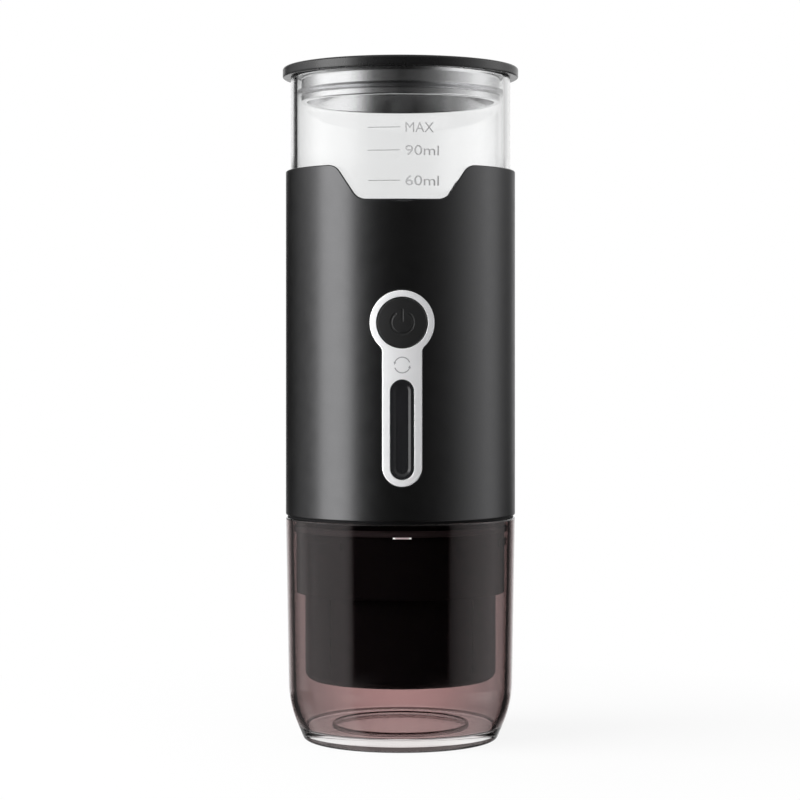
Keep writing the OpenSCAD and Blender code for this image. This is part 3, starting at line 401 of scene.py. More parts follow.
def filled(loops, across, up):
    """Triangles that fill outlines, over their own points and a grid of points between them."""
    edge = np.array([p for loop in loops for p in loop])
    low, high = edge.min(0), edge.max(0)
    columns = np.arange(low[0] + across / 2, high[0], across)
    rows = np.arange(low[1] + up / 2, high[1], up)
    grid = np.array([(s, z) for s in columns for z in rows]).reshape(-1, 2)
    if len(grid):
        grid = grid[inside(grid, loops)]
        room = np.array([np.hypot(*(edge - g).T).min() for g in grid])
        grid = grid[room > 0.6 * across]
    flat = np.concatenate([edge, grid]) if len(grid) else edge
    steps, start = [], 0
    for loop in loops:
        steps += [(start + i, start + (i + 1) % len(loop)) for i in range(len(loop))]
        start += len(loop)
    unit = 1 / mm
    result = geometry.delaunay_2d_cdt([Vector(p) * unit for p in flat], steps, [], 0, 1e-7)
    source = [origins[0] for origins in result[3]]
    triangles = [[source[i] for i in face] for face in result[2]]
    middles = np.array([flat[t].mean(0) for t in triangles])
    return grid, [t for t, keep in zip(triangles, inside(middles, loops)) if keep]


def curved_plate(name, patches, material, across=1.0 * mm, up=5 * mm):
    """A plate bent round the body's axis. A patch is (loops, outer radius, turn).

    A loop is (points, rings, steps left open), and a recess has the word "blind" after them.
    Points are (x, z) or (x, z, fade), seen from the front. A fade of 1 cuts straight back and
    0 towards the axis."""
    points, known, faces, normals = [], {}, [], []

    def add_face(corners):
        ids = []
        for place, normal in corners:
            key = tuple(round(c / mm, 5) for c in place)
            if key not in known:
                known[key] = len(points)
                points.append(place)
            ids.append(known[key])
        if len(set(ids)) == len(ids):
            faces.append(ids)
            normals.extend(normal for place, normal in corners)

    for loops, radius, turn in patches:
        def at(angle, r, z):
            return Vector((r * math.sin(angle + turn), -r * math.cos(angle + turn), z))

        def outwards(angle):
            return Vector((math.sin(angle + turn), -math.cos(angle + turn), 0))

        right = Vector((math.cos(turn), math.sin(turn), 0))
        front, back, floors = [], [], []
        for outline, rings, open_steps, *blind in loops:
            ways = outline_normals(outline, open_steps)
            walls = []
            for out, deep, tilt in rings:
                ring = []
                for point, way in zip(outline, ways):
                    fade = point[2] if len(point) > 2 else 1
                    x, z = point[0] + way.x * out, point[1] + way.y * out
                    angle = math.asin(max(-1, min(1, x / radius)))
                    if fade:
                        angle += fade * (math.asin(x / (radius - deep)) - angle)
                    sideways = right * way.x + Vector((0, 0, way.y))
                    normal = outwards(angle) * math.cos(tilt) + sideways * math.sin(tilt)
                    ring.append((at(angle, radius - deep, z), normal.normalized(), angle, radius - deep))
                walls.append(ring)
            front.append(walls[0])
            (floors if blind else back).append(walls[-1])
            for a, b in zip(walls, walls[1:]):
                for i in range(len(outline)):
                    n = (i + 1) % len(outline)
                    if i not in open_steps:
                        add_face([c[:2] for c in (a[i], b[i], b[n], a[n])])
        for rings, way in [(front, 1), (back, -1)] + [([ring], 1) for ring in floors]:
            r = rings[0][0][3]
            flat = [[(angle * r, place.z) for place, normal, angle, _ in ring] for ring in rings]
            grid, triangles = filled(flat, across, up)
            places = [(place, angle) for ring in rings for place, normal, angle, _ in ring]
            places += [(at(s / r, r, z), s / r) for s, z in grid]
            for triangle in triangles:
                corners = [(places[i][0], way * outwards(places[i][1])) for i in triangle]
                add_face(corners if way > 0 else corners[::-1])
    piece = link_mesh(name, points, faces, material)
    piece.data.normals_split_custom_set([tuple(n) for n in normals])
    return piece


def printed(name, colour, roughness=0.6):
    """Screen-printed ink, a little uneven in tone."""
    material, tree, shader = node_finish(name, Specular_IOR_Level=0.3)
    mottle(tree, noise(tree, scale=2500), colour, 0.04, shader)
    vary(tree, noise(tree, scale=900), roughness - 0.08, roughness + 0.08, shader.inputs["Roughness"])
    return material


INK_WHITE = (0.86, 0.85, 0.84)

print_t = 0.03 * mm
print_edge_r = 0.01 * mm
print_edge = rounding(print_edge_r, 2 * print_t, steps=1)
line_l = 5.6 * mm
line_h = 0.5 * mm
line_z = 65.4 * mm
line_wall_r = cup_r - cup_draft * (cup_h - line_z) / (cup_h - cup_waist_h)
line_outline = lying(stadium(line_h, line_l), (0, line_z))
cup_line = curved_plate(
    "cup_line",
    [([(line_outline, print_edge, ())], line_wall_r + print_t, 0)],
    printed("white_ink", INK_WHITE),
)
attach(cup_line, "cup")

# THE BREW HEAD
# A black moulded plate with a collar that drops into the cup. It holds the seals, the cast bell and
# its needles, and four screws pull it up against the chassis.


def moulded(name, colour, roughness, grain=900, depth=0.004 * mm, **sockets):
    """Moulded plastic or rubber with a fine spark-eroded grain and slightly cloudy gloss."""
    material, tree, shader = node_finish(name, **sockets)
    mottle(tree, noise(tree, grain / 6), colour, 0.15, shader)
    vary(tree, noise(tree, grain / 3), roughness - 0.05, roughness + 0.05, shader.inputs["Roughness"])
    relief(tree, noise(tree, grain * 4), depth, shader)
    return material


def metal(name, colour, roughness, grain=700, stretch=(1, 1, 12), cloud=0.08, marks=0.002 * mm):
    """Bare metal with fine turning or brushing marks and cloudy gloss."""
    material, tree, shader = node_finish(name, Base_Color=(*colour, 1), Metallic=1.0)
    clouds = noise(tree, grain, stretch=stretch)
    vary(tree, clouds, roughness - cloud, roughness + cloud, shader.inputs["Roughness"])
    relief(tree, noise(tree, grain * 2, stretch=stretch), marks, shader)
    return material


def dress(material, *nodes):
    """Gives the pieces that are shown as built their finish."""
    for name in nodes:
        mesh = frame["nodes"][name].data
        mesh.materials.clear()
        mesh.materials.append(material)
        mesh.polygons.foreach_set("material_index", [0] * len(mesh.polygons))


black_plastic = moulded("black_plastic", (0.004, 0.004, 0.0044), 0.55, Specular_IOR_Level=0.1)
dark_rubber = moulded("dark_rubber", (0.03, 0.03, 0.032), 0.65, grain=500)
red_silicone = moulded("red_silicone", (0.42, 0.05, 0.035), 0.45, grain=400)
steel = metal("steel", (0.62, 0.62, 0.64), 0.3)
cast_bell = metal("cast_bell", (0.5, 0.5, 0.52), 0.45, grain=500, stretch=(1, 1, 1))
dress(black_plastic, "brew_head")
dress(dark_rubber, "cup_seal")
dress(steel, "head_screws", "piercing_needles")
dress(cast_bell, "piercing_bell")
dress(red_silicone, "capsule_seal")

# THE CAPSULE HOLDER
# A black moulded cup that turns into the collar's bayonet. Inside stand a cradle for the capsule,
# a steel grid that the capsule bursts on, and the spout below.

dress(black_plastic, "holder_shell", "capsule_cradle", "spout")
dress(steel, "extraction_grid")

# THE CHASSIS
# Two dark moulded halves with posts and bosses. They carry the boards and the panel's parts,
# and are closed by the brew head below and the tank's seat above.

chassis_plastic = moulded("chassis_plastic", (0.035, 0.035, 0.037), 0.5, grain=700)
dress(chassis_plastic, "chassis_front", "chassis_rear", "tank_seat")
dress(steel, "seat_screws")
dress(red_silicone, "spigot_seal")

# THE CELLS
# Two round cells in printed sleeves, joined by nickel straps and a pair of red leads.
# A tray below and a cap above keep them upright.

cell_wrap = moulded("cell_wrap", (0.02, 0.07, 0.2), 0.35, grain=300)
nickel = metal("nickel_strap", (0.66, 0.63, 0.56), 0.35)
lead_red = moulded("lead_red", (0.4, 0.02, 0.018), 0.45, grain=600)
dress(cell_wrap, "battery_cells")
dress(chassis_plastic, "battery_tray", "battery_cap")
dress(nickel, "cell_straps")
dress(lead_red, "battery_leads")

# THE BOARDS
# A control board behind the panel with its switch and lights, and a power board at the back with
# the charging socket. A flat cable joins them.


def board_green(name, colour):
    """Solder mask over woven glass, with the weave just showing."""
    material, tree, shader = node_finish(name, Roughness=0.35, Coat_Weight=0.3, Coat_Roughness=0.15)
    place = tree.nodes.new("ShaderNodeTexCoord")
    weave = tree.nodes.new("ShaderNodeTexChecker")
    weave.inputs["Scale"].default_value = 1600
    weave.inputs["Color1"].default_value = (*colour, 1)
    weave.inputs["Color2"].default_value = (*(c * 0.8 for c in colour), 1)
    tree.links.new(place.outputs["Object"], weave.inputs["Vector"])
    tree.links.new(weave.outputs["Color"], shader.inputs["Base Color"])
    relief(tree, noise(tree, scale=1200), 0.003 * mm, shader)
    return material


dress(board_green("solder_mask", (0.012, 0.10, 0.045)), "control_board", "power_board")
component_dark = moulded("component_dark", (0.02, 0.022, 0.03), 0.4, grain=500)
dress(component_dark, "tact_switch", "power_components")
dress(moulded("light_yellow", (0.8, 0.78, 0.6), 0.3, grain=500), "indicator_leds")
dress(moulded("white_plastic", (0.8, 0.8, 0.77), 0.45, grain=500), "light_guide")
dress(moulded("cable_grey", (0.5, 0.5, 0.51), 0.5, grain=500), "link_cable")
dress(steel, "control_board_screws", "power_board_screws", "charge_socket")

# THE PUMP AND ITS HOSES
# A vibration pump: a steel plunger between two springs in a tube, with a copper coil and a steel yoke
# round it. Soft clear hoses lead the water from the tank's seat to the pump and on to the brew head.

dress(metal("yoke_steel", (0.5, 0.51, 0.53), 0.4, stretch=(12, 1, 1)), "pump_yoke")


def enamelled_winding(name, colour, wire_d, wave_length=0.314):
    """Turns of enamelled wire, side by side, from a texture whose waves have a length at scale 1."""
    material, tree, shader = node_finish(name, Base_Color=(*colour, 1), Metallic=0.8, Coat_Weight=0.5)
    place = tree.nodes.new("ShaderNodeTexCoord")
    turns = tree.nodes.new("ShaderNodeTexWave")
    turns.bands_direction = "Z"
    turns.inputs["Scale"].default_value = wave_length / wire_d
    turns.inputs["Distortion"].default_value = 0.4
    tree.links.new(place.outputs["Object"], turns.inputs["Vector"])
    vary(tree, noise(tree, scale=400), 0.25, 0.4, shader.inputs["Roughness"])
    relief(tree, turns.outputs["Fac"], wire_d / 3, shader)
    return material


dress(enamelled_winding("coil_copper", (0.55, 0.22, 0.08), 0.4 * mm), "pump_coil")
pump_plastic = moulded("pump_plastic", (0.6, 0.6, 0.57), 0.4, grain=500)
dress(pump_plastic, "pump_head")
dress(dark_rubber, "pump_grommet")
dress(steel, "pump_tube", "pump_plunger", "inlet_strainer")
dress(red_silicone, "outlet_valve")
clear_silicone = moulded(
    "clear_silicone", (0.7, 0.71, 0.72), 0.3, grain=300, Transmission_Weight=0.6, IOR=1.41,
)
dress(clear_silicone, "delivery_hose", "suction_hose", "tank_valve")

# THE PLUNGER'S SPRINGS
# Two springs of round steel wire, one below the plunger and one above, wound closer at their ends.
# One end rests in the tube and the other on the plunger, which presses them in turn.

spring_wire_r = 0.35 * mm
spring_turns = 4
plunger_travel = 3.0 * mm


def wound_spring(name, node, plunger_above, turn_steps=36, sides=12, samples=200):
    """A spring in the room of its node, whose turns are evenly apart when the plunger is nearest."""
    low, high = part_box(node)
    centre = (low + high) / 2
    coil_r = (high.x - low.x) / 2 - spring_wire_r
    shares = np.linspace(0, 1, samples)
    follow = shares * shares * (3 - 2 * shares)
    heights = shares * (high.z - low.z)
    pressed = heights - plunger_travel * follow
    ends = np.interp((spring_wire_r, high.z - low.z - spring_wire_r), heights, pressed)
    steps = spring_turns * turn_steps
    rises = np.interp(np.linspace(*ends, steps + 1), pressed, heights)
    if not plunger_above:
        rises = (high.z - low.z - rises)[::-1]
    path = []
    for i, rise in enumerate(rises):
        a = math.tau * i / turn_steps
        x, y = centre.x + coil_r * math.cos(a), centre.y + coil_r * math.sin(a)
        path.append(Vector((x, y, low.z + rise)))
    points, faces = [], [list(range(sides))[::-1]]
    for i, here in enumerate(path):
        along = path[min(i + 1, steps)] - path[max(i - 1, 0)]
        out = Vector((here.x - centre.x, here.y - centre.y, 0)).normalized()
        up = along.cross(out).normalized()
        for k in range(sides):
            a = math.tau * k / sides
            points.append(here + spring_wire_r * (math.cos(a) * out + math.sin(a) * up))
            if i < steps:
                one, other = i * sides + k, i * sides + (k + 1) % sides
                faces.append([one, other, other + sides, one + sides])
    faces.append(list(range(steps * sides, (steps + 1) * sides)))
    spring = link_mesh(name, points, faces, steel)
    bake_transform(spring)
    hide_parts(node)


wound_spring("lower_plunger_spring", "lower_spring", True)
wound_spring("upper_plunger_spring", "upper_spring", False)

# THE BODY SLEEVE
# A thin black tube with a satin coat, pushed over the chassis. Two windows are cut in its upper rim so
# that the water shows, a keyhole in front takes the panel, and a slot at the back leaves the charging
# socket free.


def satin_black(name, colour, roughness, **sockets):
    """A satin black coat with a very fine orange-peel."""
    material, tree, shader = node_finish(name, **sockets)
    mottle(tree, noise(tree, scale=1800, detail=4), colour, 0.06, shader)
    vary(tree, noise(tree, scale=250), roughness - 0.02, roughness + 0.02, shader.inputs["Roughness"])
    relief(tree, noise(tree, scale=3500), 0.0012 * mm, shader)
    return material


sleeve_low, sleeve_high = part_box("body_sleeve")
sleeve_r = sleeve_high.x
sleeve_wall = 1.2 * mm
sleeve_edge_r = 0.5 * mm
window_depth = 10.6 * mm
window_floor_w = 21.6 * mm
window_slope = math.radians(57)
window_r = 4.4 * mm


def arc(centre, radius, start, end, steps=14):
    """Points of an arc."""
    angles = [start + (end - start) * i / steps for i in range(steps + 1)]
    return [(centre[0] + radius * math.cos(a), centre[1] + radius * math.sin(a)) for a in angles]


def half_sleeve_outline(steps=64):
    """One half of the sleeve laid flat, with the window in its upper rim, and its two open sides."""
    quarter = math.pi / 2
    low_x = window_floor_w / 2
    run = (window_depth - 2 * window_r * (1 - math.cos(window_slope))) / math.tan(window_slope)
    high_x = low_x + 2 * window_r * math.sin(window_slope) + run
    top, floor = sleeve_high.z, sleeve_high.z - window_depth
    side = arc((low_x, floor + window_r), window_r, -quarter, window_slope - quarter)
    side += arc((high_x, top - window_r), window_r, window_slope + quarter, quarter)
    window = [(x, z, 1) for x, z in side[::-1]] + [(-x, z, 1) for x, z in side]
    start = math.asin(high_x / sleeve_r)
    turns = [start + (quarter - start) * i / steps for i in range(1, steps + 1)]
    fade_end = math.radians(70)
    rim = [(sleeve_r * math.sin(a), top, max(0, (fade_end - a) / (fade_end - start))) for a in turns]
    turns = [quarter * i / steps for i in range(-steps, steps + 1)]
    low = [(sleeve_r * math.sin(a), sleeve_low.z, 0) for a in turns]
    outline = low + rim[::-1] + window + [(-x, z, fade) for x, z, fade in rim]
    return outline, (len(low) - 1, len(outline) - 1)


bezel_low, bezel_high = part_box("bezel")
bezel_ring_r = bezel_high.x
panel_z = bezel_high.z - bezel_ring_r
stem_w = 12 * mm
stem_fillet = 2.5 * mm
trim_gap = 0.15 * mm
trim_edge_r = 0.15 * mm


def keyhole(grow=0.0):
    """The panel's outline, a ring with a stem below, counter-clockwise."""
    ring = bezel_ring_r + grow
    half = stem_w / 2 + grow
    fillet = stem_fillet - grow
    low = bezel_low.z + stem_w / 2 - panel_z
    centre = (half + fillet, -math.sqrt((ring + fillet) ** 2 - (half + fillet) ** 2))
    lean = math.atan2(centre[1], centre[0])
    side = arc(centre, fillet, math.pi, lean + math.pi, steps=8)
    side += arc((0, 0), ring, lean, math.pi / 2, steps=40)[1:]
    bottom = arc((0, low), half, math.pi, math.tau, steps=32)
    left = [(-x, z) for x, z in side[-2::-1]]
    return [(x, z + panel_z) for x, z in bottom + side + left]


port_low, port_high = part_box("charge_socket")
port_gap = 0.3 * mm
port_z = (port_low.z + port_high.z) / 2
port_size = port_high - port_low
port_outline = lying(stadium(port_size.z + 2 * port_gap, port_size.x + 2 * port_gap), (0, port_z))
sleeve_outline, sleeve_open = half_sleeve_outline()
sleeve_edge = rounding(sleeve_edge_r, sleeve_wall)
cut_edge = rounding(trim_edge_r, sleeve_wall, steps=3)
sleeve_front = [(sleeve_outline, sleeve_edge, sleeve_open), (keyhole(trim_gap)[::-1], cut_edge, ())]
sleeve_back = [(sleeve_outline, sleeve_edge, sleeve_open), (port_outline[::-1], cut_edge, ())]
# Fine metal flakes in the coat give it its sheen, and keep it dark at a glancing view.
SLEEVE_FLAKES = (0.083, 0.083, 0.0845)
GLANCING = (0.6, 0.6, 0.6, 1)
sleeve_black = satin_black("sleeve_black", SLEEVE_FLAKES, 0.3, Metallic=1.0, Specular_Tint=GLANCING)
body_sleeve = curved_plate(
    "sleeve", [(sleeve_front, sleeve_r, 0), (sleeve_back, sleeve_r, math.pi)], sleeve_black)
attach(body_sleeve, "machine")
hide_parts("body_sleeve")

# THE BEZEL
# A light silver plate in the shape of a keyhole, stamped and painted, pressed into the sleeve.
# It frames the button and the light bar.


def silver_paint(name, colour):
    """Light metallic paint with a fine sparkle."""
    material, tree, shader = node_finish(name, Metallic=0.35)
    mottle(tree, noise(tree, scale=6000), colour, 0.05, shader)
    vary(tree, noise(tree, scale=900), 0.36, 0.46, shader.inputs["Roughness"])
    relief(tree, noise(tree, scale=5000), 0.0015 * mm, shader)
    return material


bezel_r = -bezel_low.y
button_r = 7.65 * mm
button_hole_r = button_r + trim_gap
bar_w = 7.3 * mm
bar_l = 30.2 * mm
bar_margin = 2.0 * mm
bar_z = bezel_low.z + bar_margin + bar_l / 2
bezel_depth = bezel_r - (sleeve_r - sleeve_wall)
bezel_edge_r = 0.3 * mm
hole_edge = rounding(trim_edge_r, bezel_depth)
button_hole = arc((0, panel_z), button_hole_r, math.tau, 0, steps=96)[:-1]
bar_hole = stadium(bar_w, bar_l, (0, bar_z))[::-1]
bezel = curved_plate("panel_bezel", [
    ([
        (keyhole(), rounding(bezel_edge_r, bezel_depth), ()),
        (button_hole, hole_edge, ()),
        (bar_hole, hole_edge, ()),
    ], bezel_r, 0),
], silver_paint("silver_paint", (0.87, 0.87, 0.88)), across=0.6 * mm, up=2 * mm)
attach(bezel, "machine")
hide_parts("bezel")

# THE READY SIGN
# Two thin grey arcs with arrow ends, printed on the bezel between the button and the light bar.
# They stand for the machine at work.

sign_z = 117.4 * mm
sign_r = 2.35 * mm
sign_stroke = 0.3 * mm
sign_span = math.radians(138)
sign_starts = (math.radians(20), math.radians(200))
sign_edge_r = 0.008 * mm
arrow_half = 0.42 * mm
arrow_turn = math.radians(20)


def arrow_arc(start):
    """The outline of an arc that ends in a small arrow, clockwise on the panel."""
    inner, outer = sign_r - sign_stroke / 2, sign_r + sign_stroke / 2
    centre = (0, sign_z)
    end = start + sign_span
    tips = ((sign_r + arrow_half, end), (sign_r, end + arrow_turn), (sign_r - arrow_half, end))
    head = [(r * math.cos(a), sign_z + r * math.sin(a)) for r, a in tips]
    return arc(centre, outer, start, end, steps=24) + head + arc(centre, inner, end, start, steps=24)


sign_ink = printed("grey_ink", (0.3, 0.3, 0.31))
sign_edge = rounding(sign_edge_r, 2 * print_t, steps=1)
ready_sign = curved_plate("ready_sign", [
    ([(arrow_arc(start), sign_edge, ())], bezel_r + print_t, 0) for start in sign_starts
], sign_ink)
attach(ready_sign, "machine")

# THE LIGHT BAR
# A lens with a shallow dish along its front, moulded in glossy plastic that looks black until the lights
# behind it are on. It snaps in from behind and fills the slot in the bezel's stem.


def glossy_black(name, colour, roughness):
    """Polished black plastic with the faintest haze."""
    material, tree, shader = node_finish(name, IOR=1.5)
    mottle(tree, noise(tree, scale=500), colour, 0.15, shader)
    vary(tree, noise(tree, scale=300), roughness * 0.7, roughness * 1.3, shader.inputs["Roughness"])
    relief(tree, noise(tree, scale=250, detail=0.0), 0.001 * mm, shader)
    return material


lens_r = (sleeve_r + bezel_r) / 2
lens_depth = lens_r - (sleeve_r - sleeve_wall)
lens_rim = 1.0 * mm
lens_edge_r = 0.2 * mm
dish_depth = 0.5 * mm
dish_slope = math.radians(31)
dish_lip = 0.08 * mm


def sloped(depth, slope, lip):
    """Rings of a recess with sloping sides and eased edges, as (inwards, deep, tilt)."""
    run = (depth - lip / 2) / math.tan(slope)
    return [
        (-lip, 0, 0), (0, lip / 4, slope / 2), (lip, lip / 2, slope), (run, depth - lip / 2, slope),
        (run + lip, depth - lip / 8, slope / 2), (run + 2 * lip, depth, 0),
    ]


lens_outline = stadium(bar_w - 2 * trim_gap, bar_l - 2 * trim_gap, (0, bar_z), steps=24)
dish_outline = stadium(bar_w - 2 * lens_rim, bar_l - 2 * lens_rim, (0, bar_z), steps=24)[::-1]
light_bar = curved_plate("light_bar", [
    ([
        (lens_outline, rounding(lens_edge_r, lens_depth), ()),
        (dish_outline, sloped(dish_depth, dish_slope, dish_lip), (), "blind"),
    ], lens_r, 0),
], glossy_black("lens_black", (0.011, 0.011, 0.012), 0.13), across=0.5 * mm, up=2 * mm)
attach(light_bar, "machine")
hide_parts("light_bar_lens")

# THE POWER BUTTON
# A round black button, satin, with the power sign sunk into its face.
# It travels inwards in the bezel's ring, and a pin on its back works the switch.

button_face_r = -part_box("power_button")[0].y
button_depth = 4.0 * mm
button_edge_r = 0.5 * mm
power_r = 3.35 * mm
power_stroke = 0.85 * mm
power_gap = math.radians(38)
power_depth = 0.2 * mm
power_slope = math.radians(45)
power_lip = 0.05 * mm
power_bar_low, power_bar_high = 0.2 * mm, 4.2 * mm


def open_ring():
    """A ring with a gap at the top and round ends, counter-clockwise."""
    half = power_stroke / 2
    centre = (0, panel_z)
    start, end = math.pi / 2 + power_gap, math.pi / 2 + math.tau - power_gap
    near, far = arc(centre, power_r, start, end, steps=1)
    outer = arc(centre, power_r + half, start, end, steps=60)
    outer += arc(far, half, end, end + math.pi, steps=8)[1:-1]
    inner = arc(centre, power_r - half, end, start, steps=60)
    inner += arc(near, half, start + math.pi, start + math.tau, steps=8)[1:-1]
    return outer + inner


power_bar_z = panel_z + (power_bar_low + power_bar_high) / 2
power_bar = stadium(power_stroke, power_bar_high - power_bar_low, (0, power_bar_z), steps=10)
power_groove = sloped(power_depth, power_slope, power_lip)
button_outline = arc((0, panel_z), button_r, 0, math.tau, steps=120)[:-1]
button = curved_plate("button_cap", [
    ([
        (button_outline, rounding(button_edge_r, button_depth, steps=6), ()),
        (open_ring()[::-1], power_groove, (), "blind"),
        (power_bar[::-1], power_groove, (), "blind"),
    ], button_face_r, 0),
], satin_black("button_black", (0.009, 0.009, 0.0093), 0.46, IOR=1.55), across=0.6 * mm, up=0.6 * mm)
dress(black_plastic, "switch_pin")
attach(button, "button")
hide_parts("power_button")

# THE WATER TANK
# A clear tank, moulded in one piece, that stands in the sleeve on its outlet spigot.
# It lifts straight out for filling.

tank_low, tank_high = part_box("water_tank")
tank_r = tank_high.x
tank_top = tank_high.z
tank_h = 54.2 * mm
tank_bottom = tank_top - tank_h
tank_wall = 2.0 * mm
tank_bore_r = tank_r - tank_wall
tank_floor_t = 2.0 * mm
tank_floor_z = tank_bottom + tank_floor_t
tank_rim_round = 0.5 * mm
tank_base_round = 1.2 * mm
tank_floor_round = 2.0 * mm
tank_waves = 0.002 * mm
spigot_r = 5.0 * mm
spigot_bore_r = 3.2 * mm
spigot_round = 0.5 * mm
tank = turned("clear_tank", [
    (spigot_bore_r, tank_low.z, 0),
    (spigot_r, tank_low.z, spigot_round),
    (spigot_r, tank_bottom, 0),
    (tank_r, tank_bottom, tank_base_round),
    (tank_r, tank_top, tank_rim_round),
    (tank_bore_r, tank_top, tank_rim_round),
    (tank_bore_r, tank_floor_z, tank_floor_round),
    (spigot_bore_r, tank_floor_z, 0),
], clear_plastic("clear_plastic", (0.93, 0.933, 0.933), tank_waves))
tank.visible_shadow = False
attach(tank, "tank")
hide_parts("water_tank")

# THE WATER MARKS
# Three grey level lines with their names, printed on the front of the tank.
# The lowest two are the usual cup sizes.

# The words of each line, its height, and how wide the words are.
LEVELS = (
    ("MAX", 188.9 * mm, 8.7 * mm),
    ("90ml", 182.0 * mm, 10.3 * mm),
    ("60ml", 172.9 * mm, 10.3 * mm),
)
level_left, level_right = -10.4 * mm, -0.5 * mm
level_h = 0.2 * mm
letters_x = 1.0 * mm
letters_h = 4.3 * mm
tank_ink = printed("tank_ink", (0.45, 0.45, 0.455))


def wrapped_letters(words, x, z, width, height, radius, material, capital_half=0.35):
    """Words as a thin print on a round wall, as wide as given, with their capitals' middle at a height."""
    curve = bpy.data.curves.new("letters", "FONT")
    curve.body = words
    curve.size = height
    curve.extrude = print_t
    curve.resolution_u = 6
    carrier = bpy.data.objects.new("letters", curve)
    mesh = bpy.data.meshes.new_from_object(carrier)
    middle = capital_half * height
    left, right = (pick(vertex.co.x for vertex in mesh.vertices) for pick in (min, max))
    for vertex in mesh.vertices:
        angle = (x + (vertex.co.x - left) * width / (right - left)) / radius
        r = radius + vertex.co.z
        vertex.co = (r * math.sin(angle), -r * math.cos(angle), z + vertex.co.y - middle)
    mesh.materials.clear()
    mesh.materials.append(material)
    bpy.data.objects.remove(carrier)
    piece = bpy.data.objects.new("tank_words_" + words, mesh)
    bpy.context.scene.collection.objects.link(piece)
    return piece


for words, z, width in LEVELS:
    middle = ((level_left + level_right) / 2, z)
    outline = lying(stadium(level_h, level_right - level_left), middle)
    patch = ([(outline, print_edge, ())], tank_r + print_t, 0)
    line = curved_plate("tank_line_" + words, [patch], tank_ink)
    label = wrapped_letters(words, letters_x, z, width, letters_h, tank_r + print_t, tank_ink)
    for piece in (line, label):
        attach(piece, "tank")

# THE LID'S DISC
# A flat disc, moulded in black plastic and glued to the plug below it.
# It overhangs the tank, and the lid is pulled straight up by that edge.

lid_low, lid_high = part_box("lid_cap")
lid_r = lid_high.x
lid_lower_round = 0.5 * mm
lid_upper_round = 0.8 * mm
lid_cap = turned("lid_disc", [
    (0, lid_low.z, 0),
    (lid_r, lid_low.z, lid_lower_round),
    (lid_r, lid_high.z, lid_upper_round),
    (0, lid_high.z, 0),
], satin_black("lid_black", (0.004, 0.004, 0.0042), 0.28, IOR=1.545))
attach(lid_cap, "lid")
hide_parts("lid_cap")

# THE LID'S PLUG
# A hollow steel plug, drawn and turned, open below and a little wider there.
# A groove round its outside takes the seal.

plug_low, plug_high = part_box("lid_plug")
plug_r = plug_high.x
plug_wall = 1.8 * mm
plug_roof_t = 1.4 * mm
plug_roof_z = plug_high.z - plug_roof_t
plug_draft = 1.0 * mm
plug_rim_round = 0.4 * mm
groove_r = plug_r - plug_wall / 2
groove_down = 4.2 * mm
groove_h = 1.8 * mm
groove_top = plug_high.z - groove_down
groove_low = groove_top - groove_h
lid_plug = turned("lid_stopper", [
    (plug_r - plug_wall, plug_low.z, plug_rim_round),
    (plug_r, plug_low.z, plug_rim_round),
    (plug_r, groove_low, 0),
    (groove_r, groove_low, 0),
    (groove_r, groove_top, 0),
    (plug_r, groove_top, 0),
    (plug_r, plug_high.z, 0),
    (0, plug_high.z, 0),
    (0, plug_roof_z, 0),
    (plug_r - plug_wall - plug_draft, plug_roof_z, 0),
], metal("stopper_steel", (0.6, 0.6, 0.605), 0.13, stretch=(1, 1, 20), cloud=0.02, marks=0.00015 * mm))
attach(lid_plug, "lid")
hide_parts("lid_plug")

# THE LID'S SEAL
# A ring of clear silicone, moulded in one piece and stretched into the plug's groove.
# It rubs on the tank's wall and holds the lid.

seal_low, seal_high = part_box("lid_seal")
seal_r = seal_high.x
seal_gap = 0.1 * mm
seal_inner_r = groove_r + seal_gap
seal_round = 0.4 * mm
lid_seal = turned("lid_gasket", [
    (seal_inner_r, seal_low.z, 0),
    (seal_r, seal_low.z, seal_round),
    (seal_r, seal_high.z, seal_round),
    (seal_inner_r, seal_high.z, 0),
], moulded("gasket_silicone", (0.8, 0.8, 0.81), 0.12, grain=500, Transmission_Weight=1.0, IOR=1.41))
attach(lid_seal, "lid")
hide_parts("lid_seal")

# THE STUDIO
# A white table in a white tent that is open towards the camera, with black flags beside the backdrop,
# a large soft box on the left and a weaker one on the right. Gloss shows the tent, and what is seen
# direct or through the clear pieces is white, but for a flag that darkens one edge of the cup.

TENT_WHITE = (1, 1, 1, 1)
TENT_ROOF = 0.5
TENT_AMBIENT = 0.3
# What gloss shows of the tent, as brightness by azimuth in degrees, from the camera to the right.
# From the front, the tank and the lid mirror its top, the sleeve its middle and the cup its low part.
TENT_TOP = (
    (-180, 1.0), (-157, 1.0), (-155.5, 0.0), (-142, 0.0), (-141, 0.4), (-130, 0.45), (-118, 0.8),
    (-105, 1.5), (-95, 1.8), (-62, 1.7), (-50, 1.2), (-41, 0.6), (-32, 0.24), (-20, 0.12), (0, 0.04),
    (20, 0.08), (40, 0.2), (52, 0.4), (60, 0.6), (80, 1.0), (92, 1.4), (104, 1.4), (125, 0.8),
    (140, 0.65), (152, 0.75), (160, 1.0),
)
TENT_MIDDLE = (
    (-180, 1.0), (-168, 1.0), (-163, 0.02), (-142, 0.05), (-130, 0.2), (-121, 0.36), (-106, 0.4),
    (-97, 0.75), (-56, 0.8), (-42, 0.3), (-30, 0.09), (-18, 0.01), (18, 0.01), (42, 0.1), (52, 0.2),
    (65, 0.42), (77, 0.82), (90, 1.1), (100, 1.15), (110, 0.8), (120, 0.5), (134, 0.3), (146, 0.4),
    (152, 1.0),
)
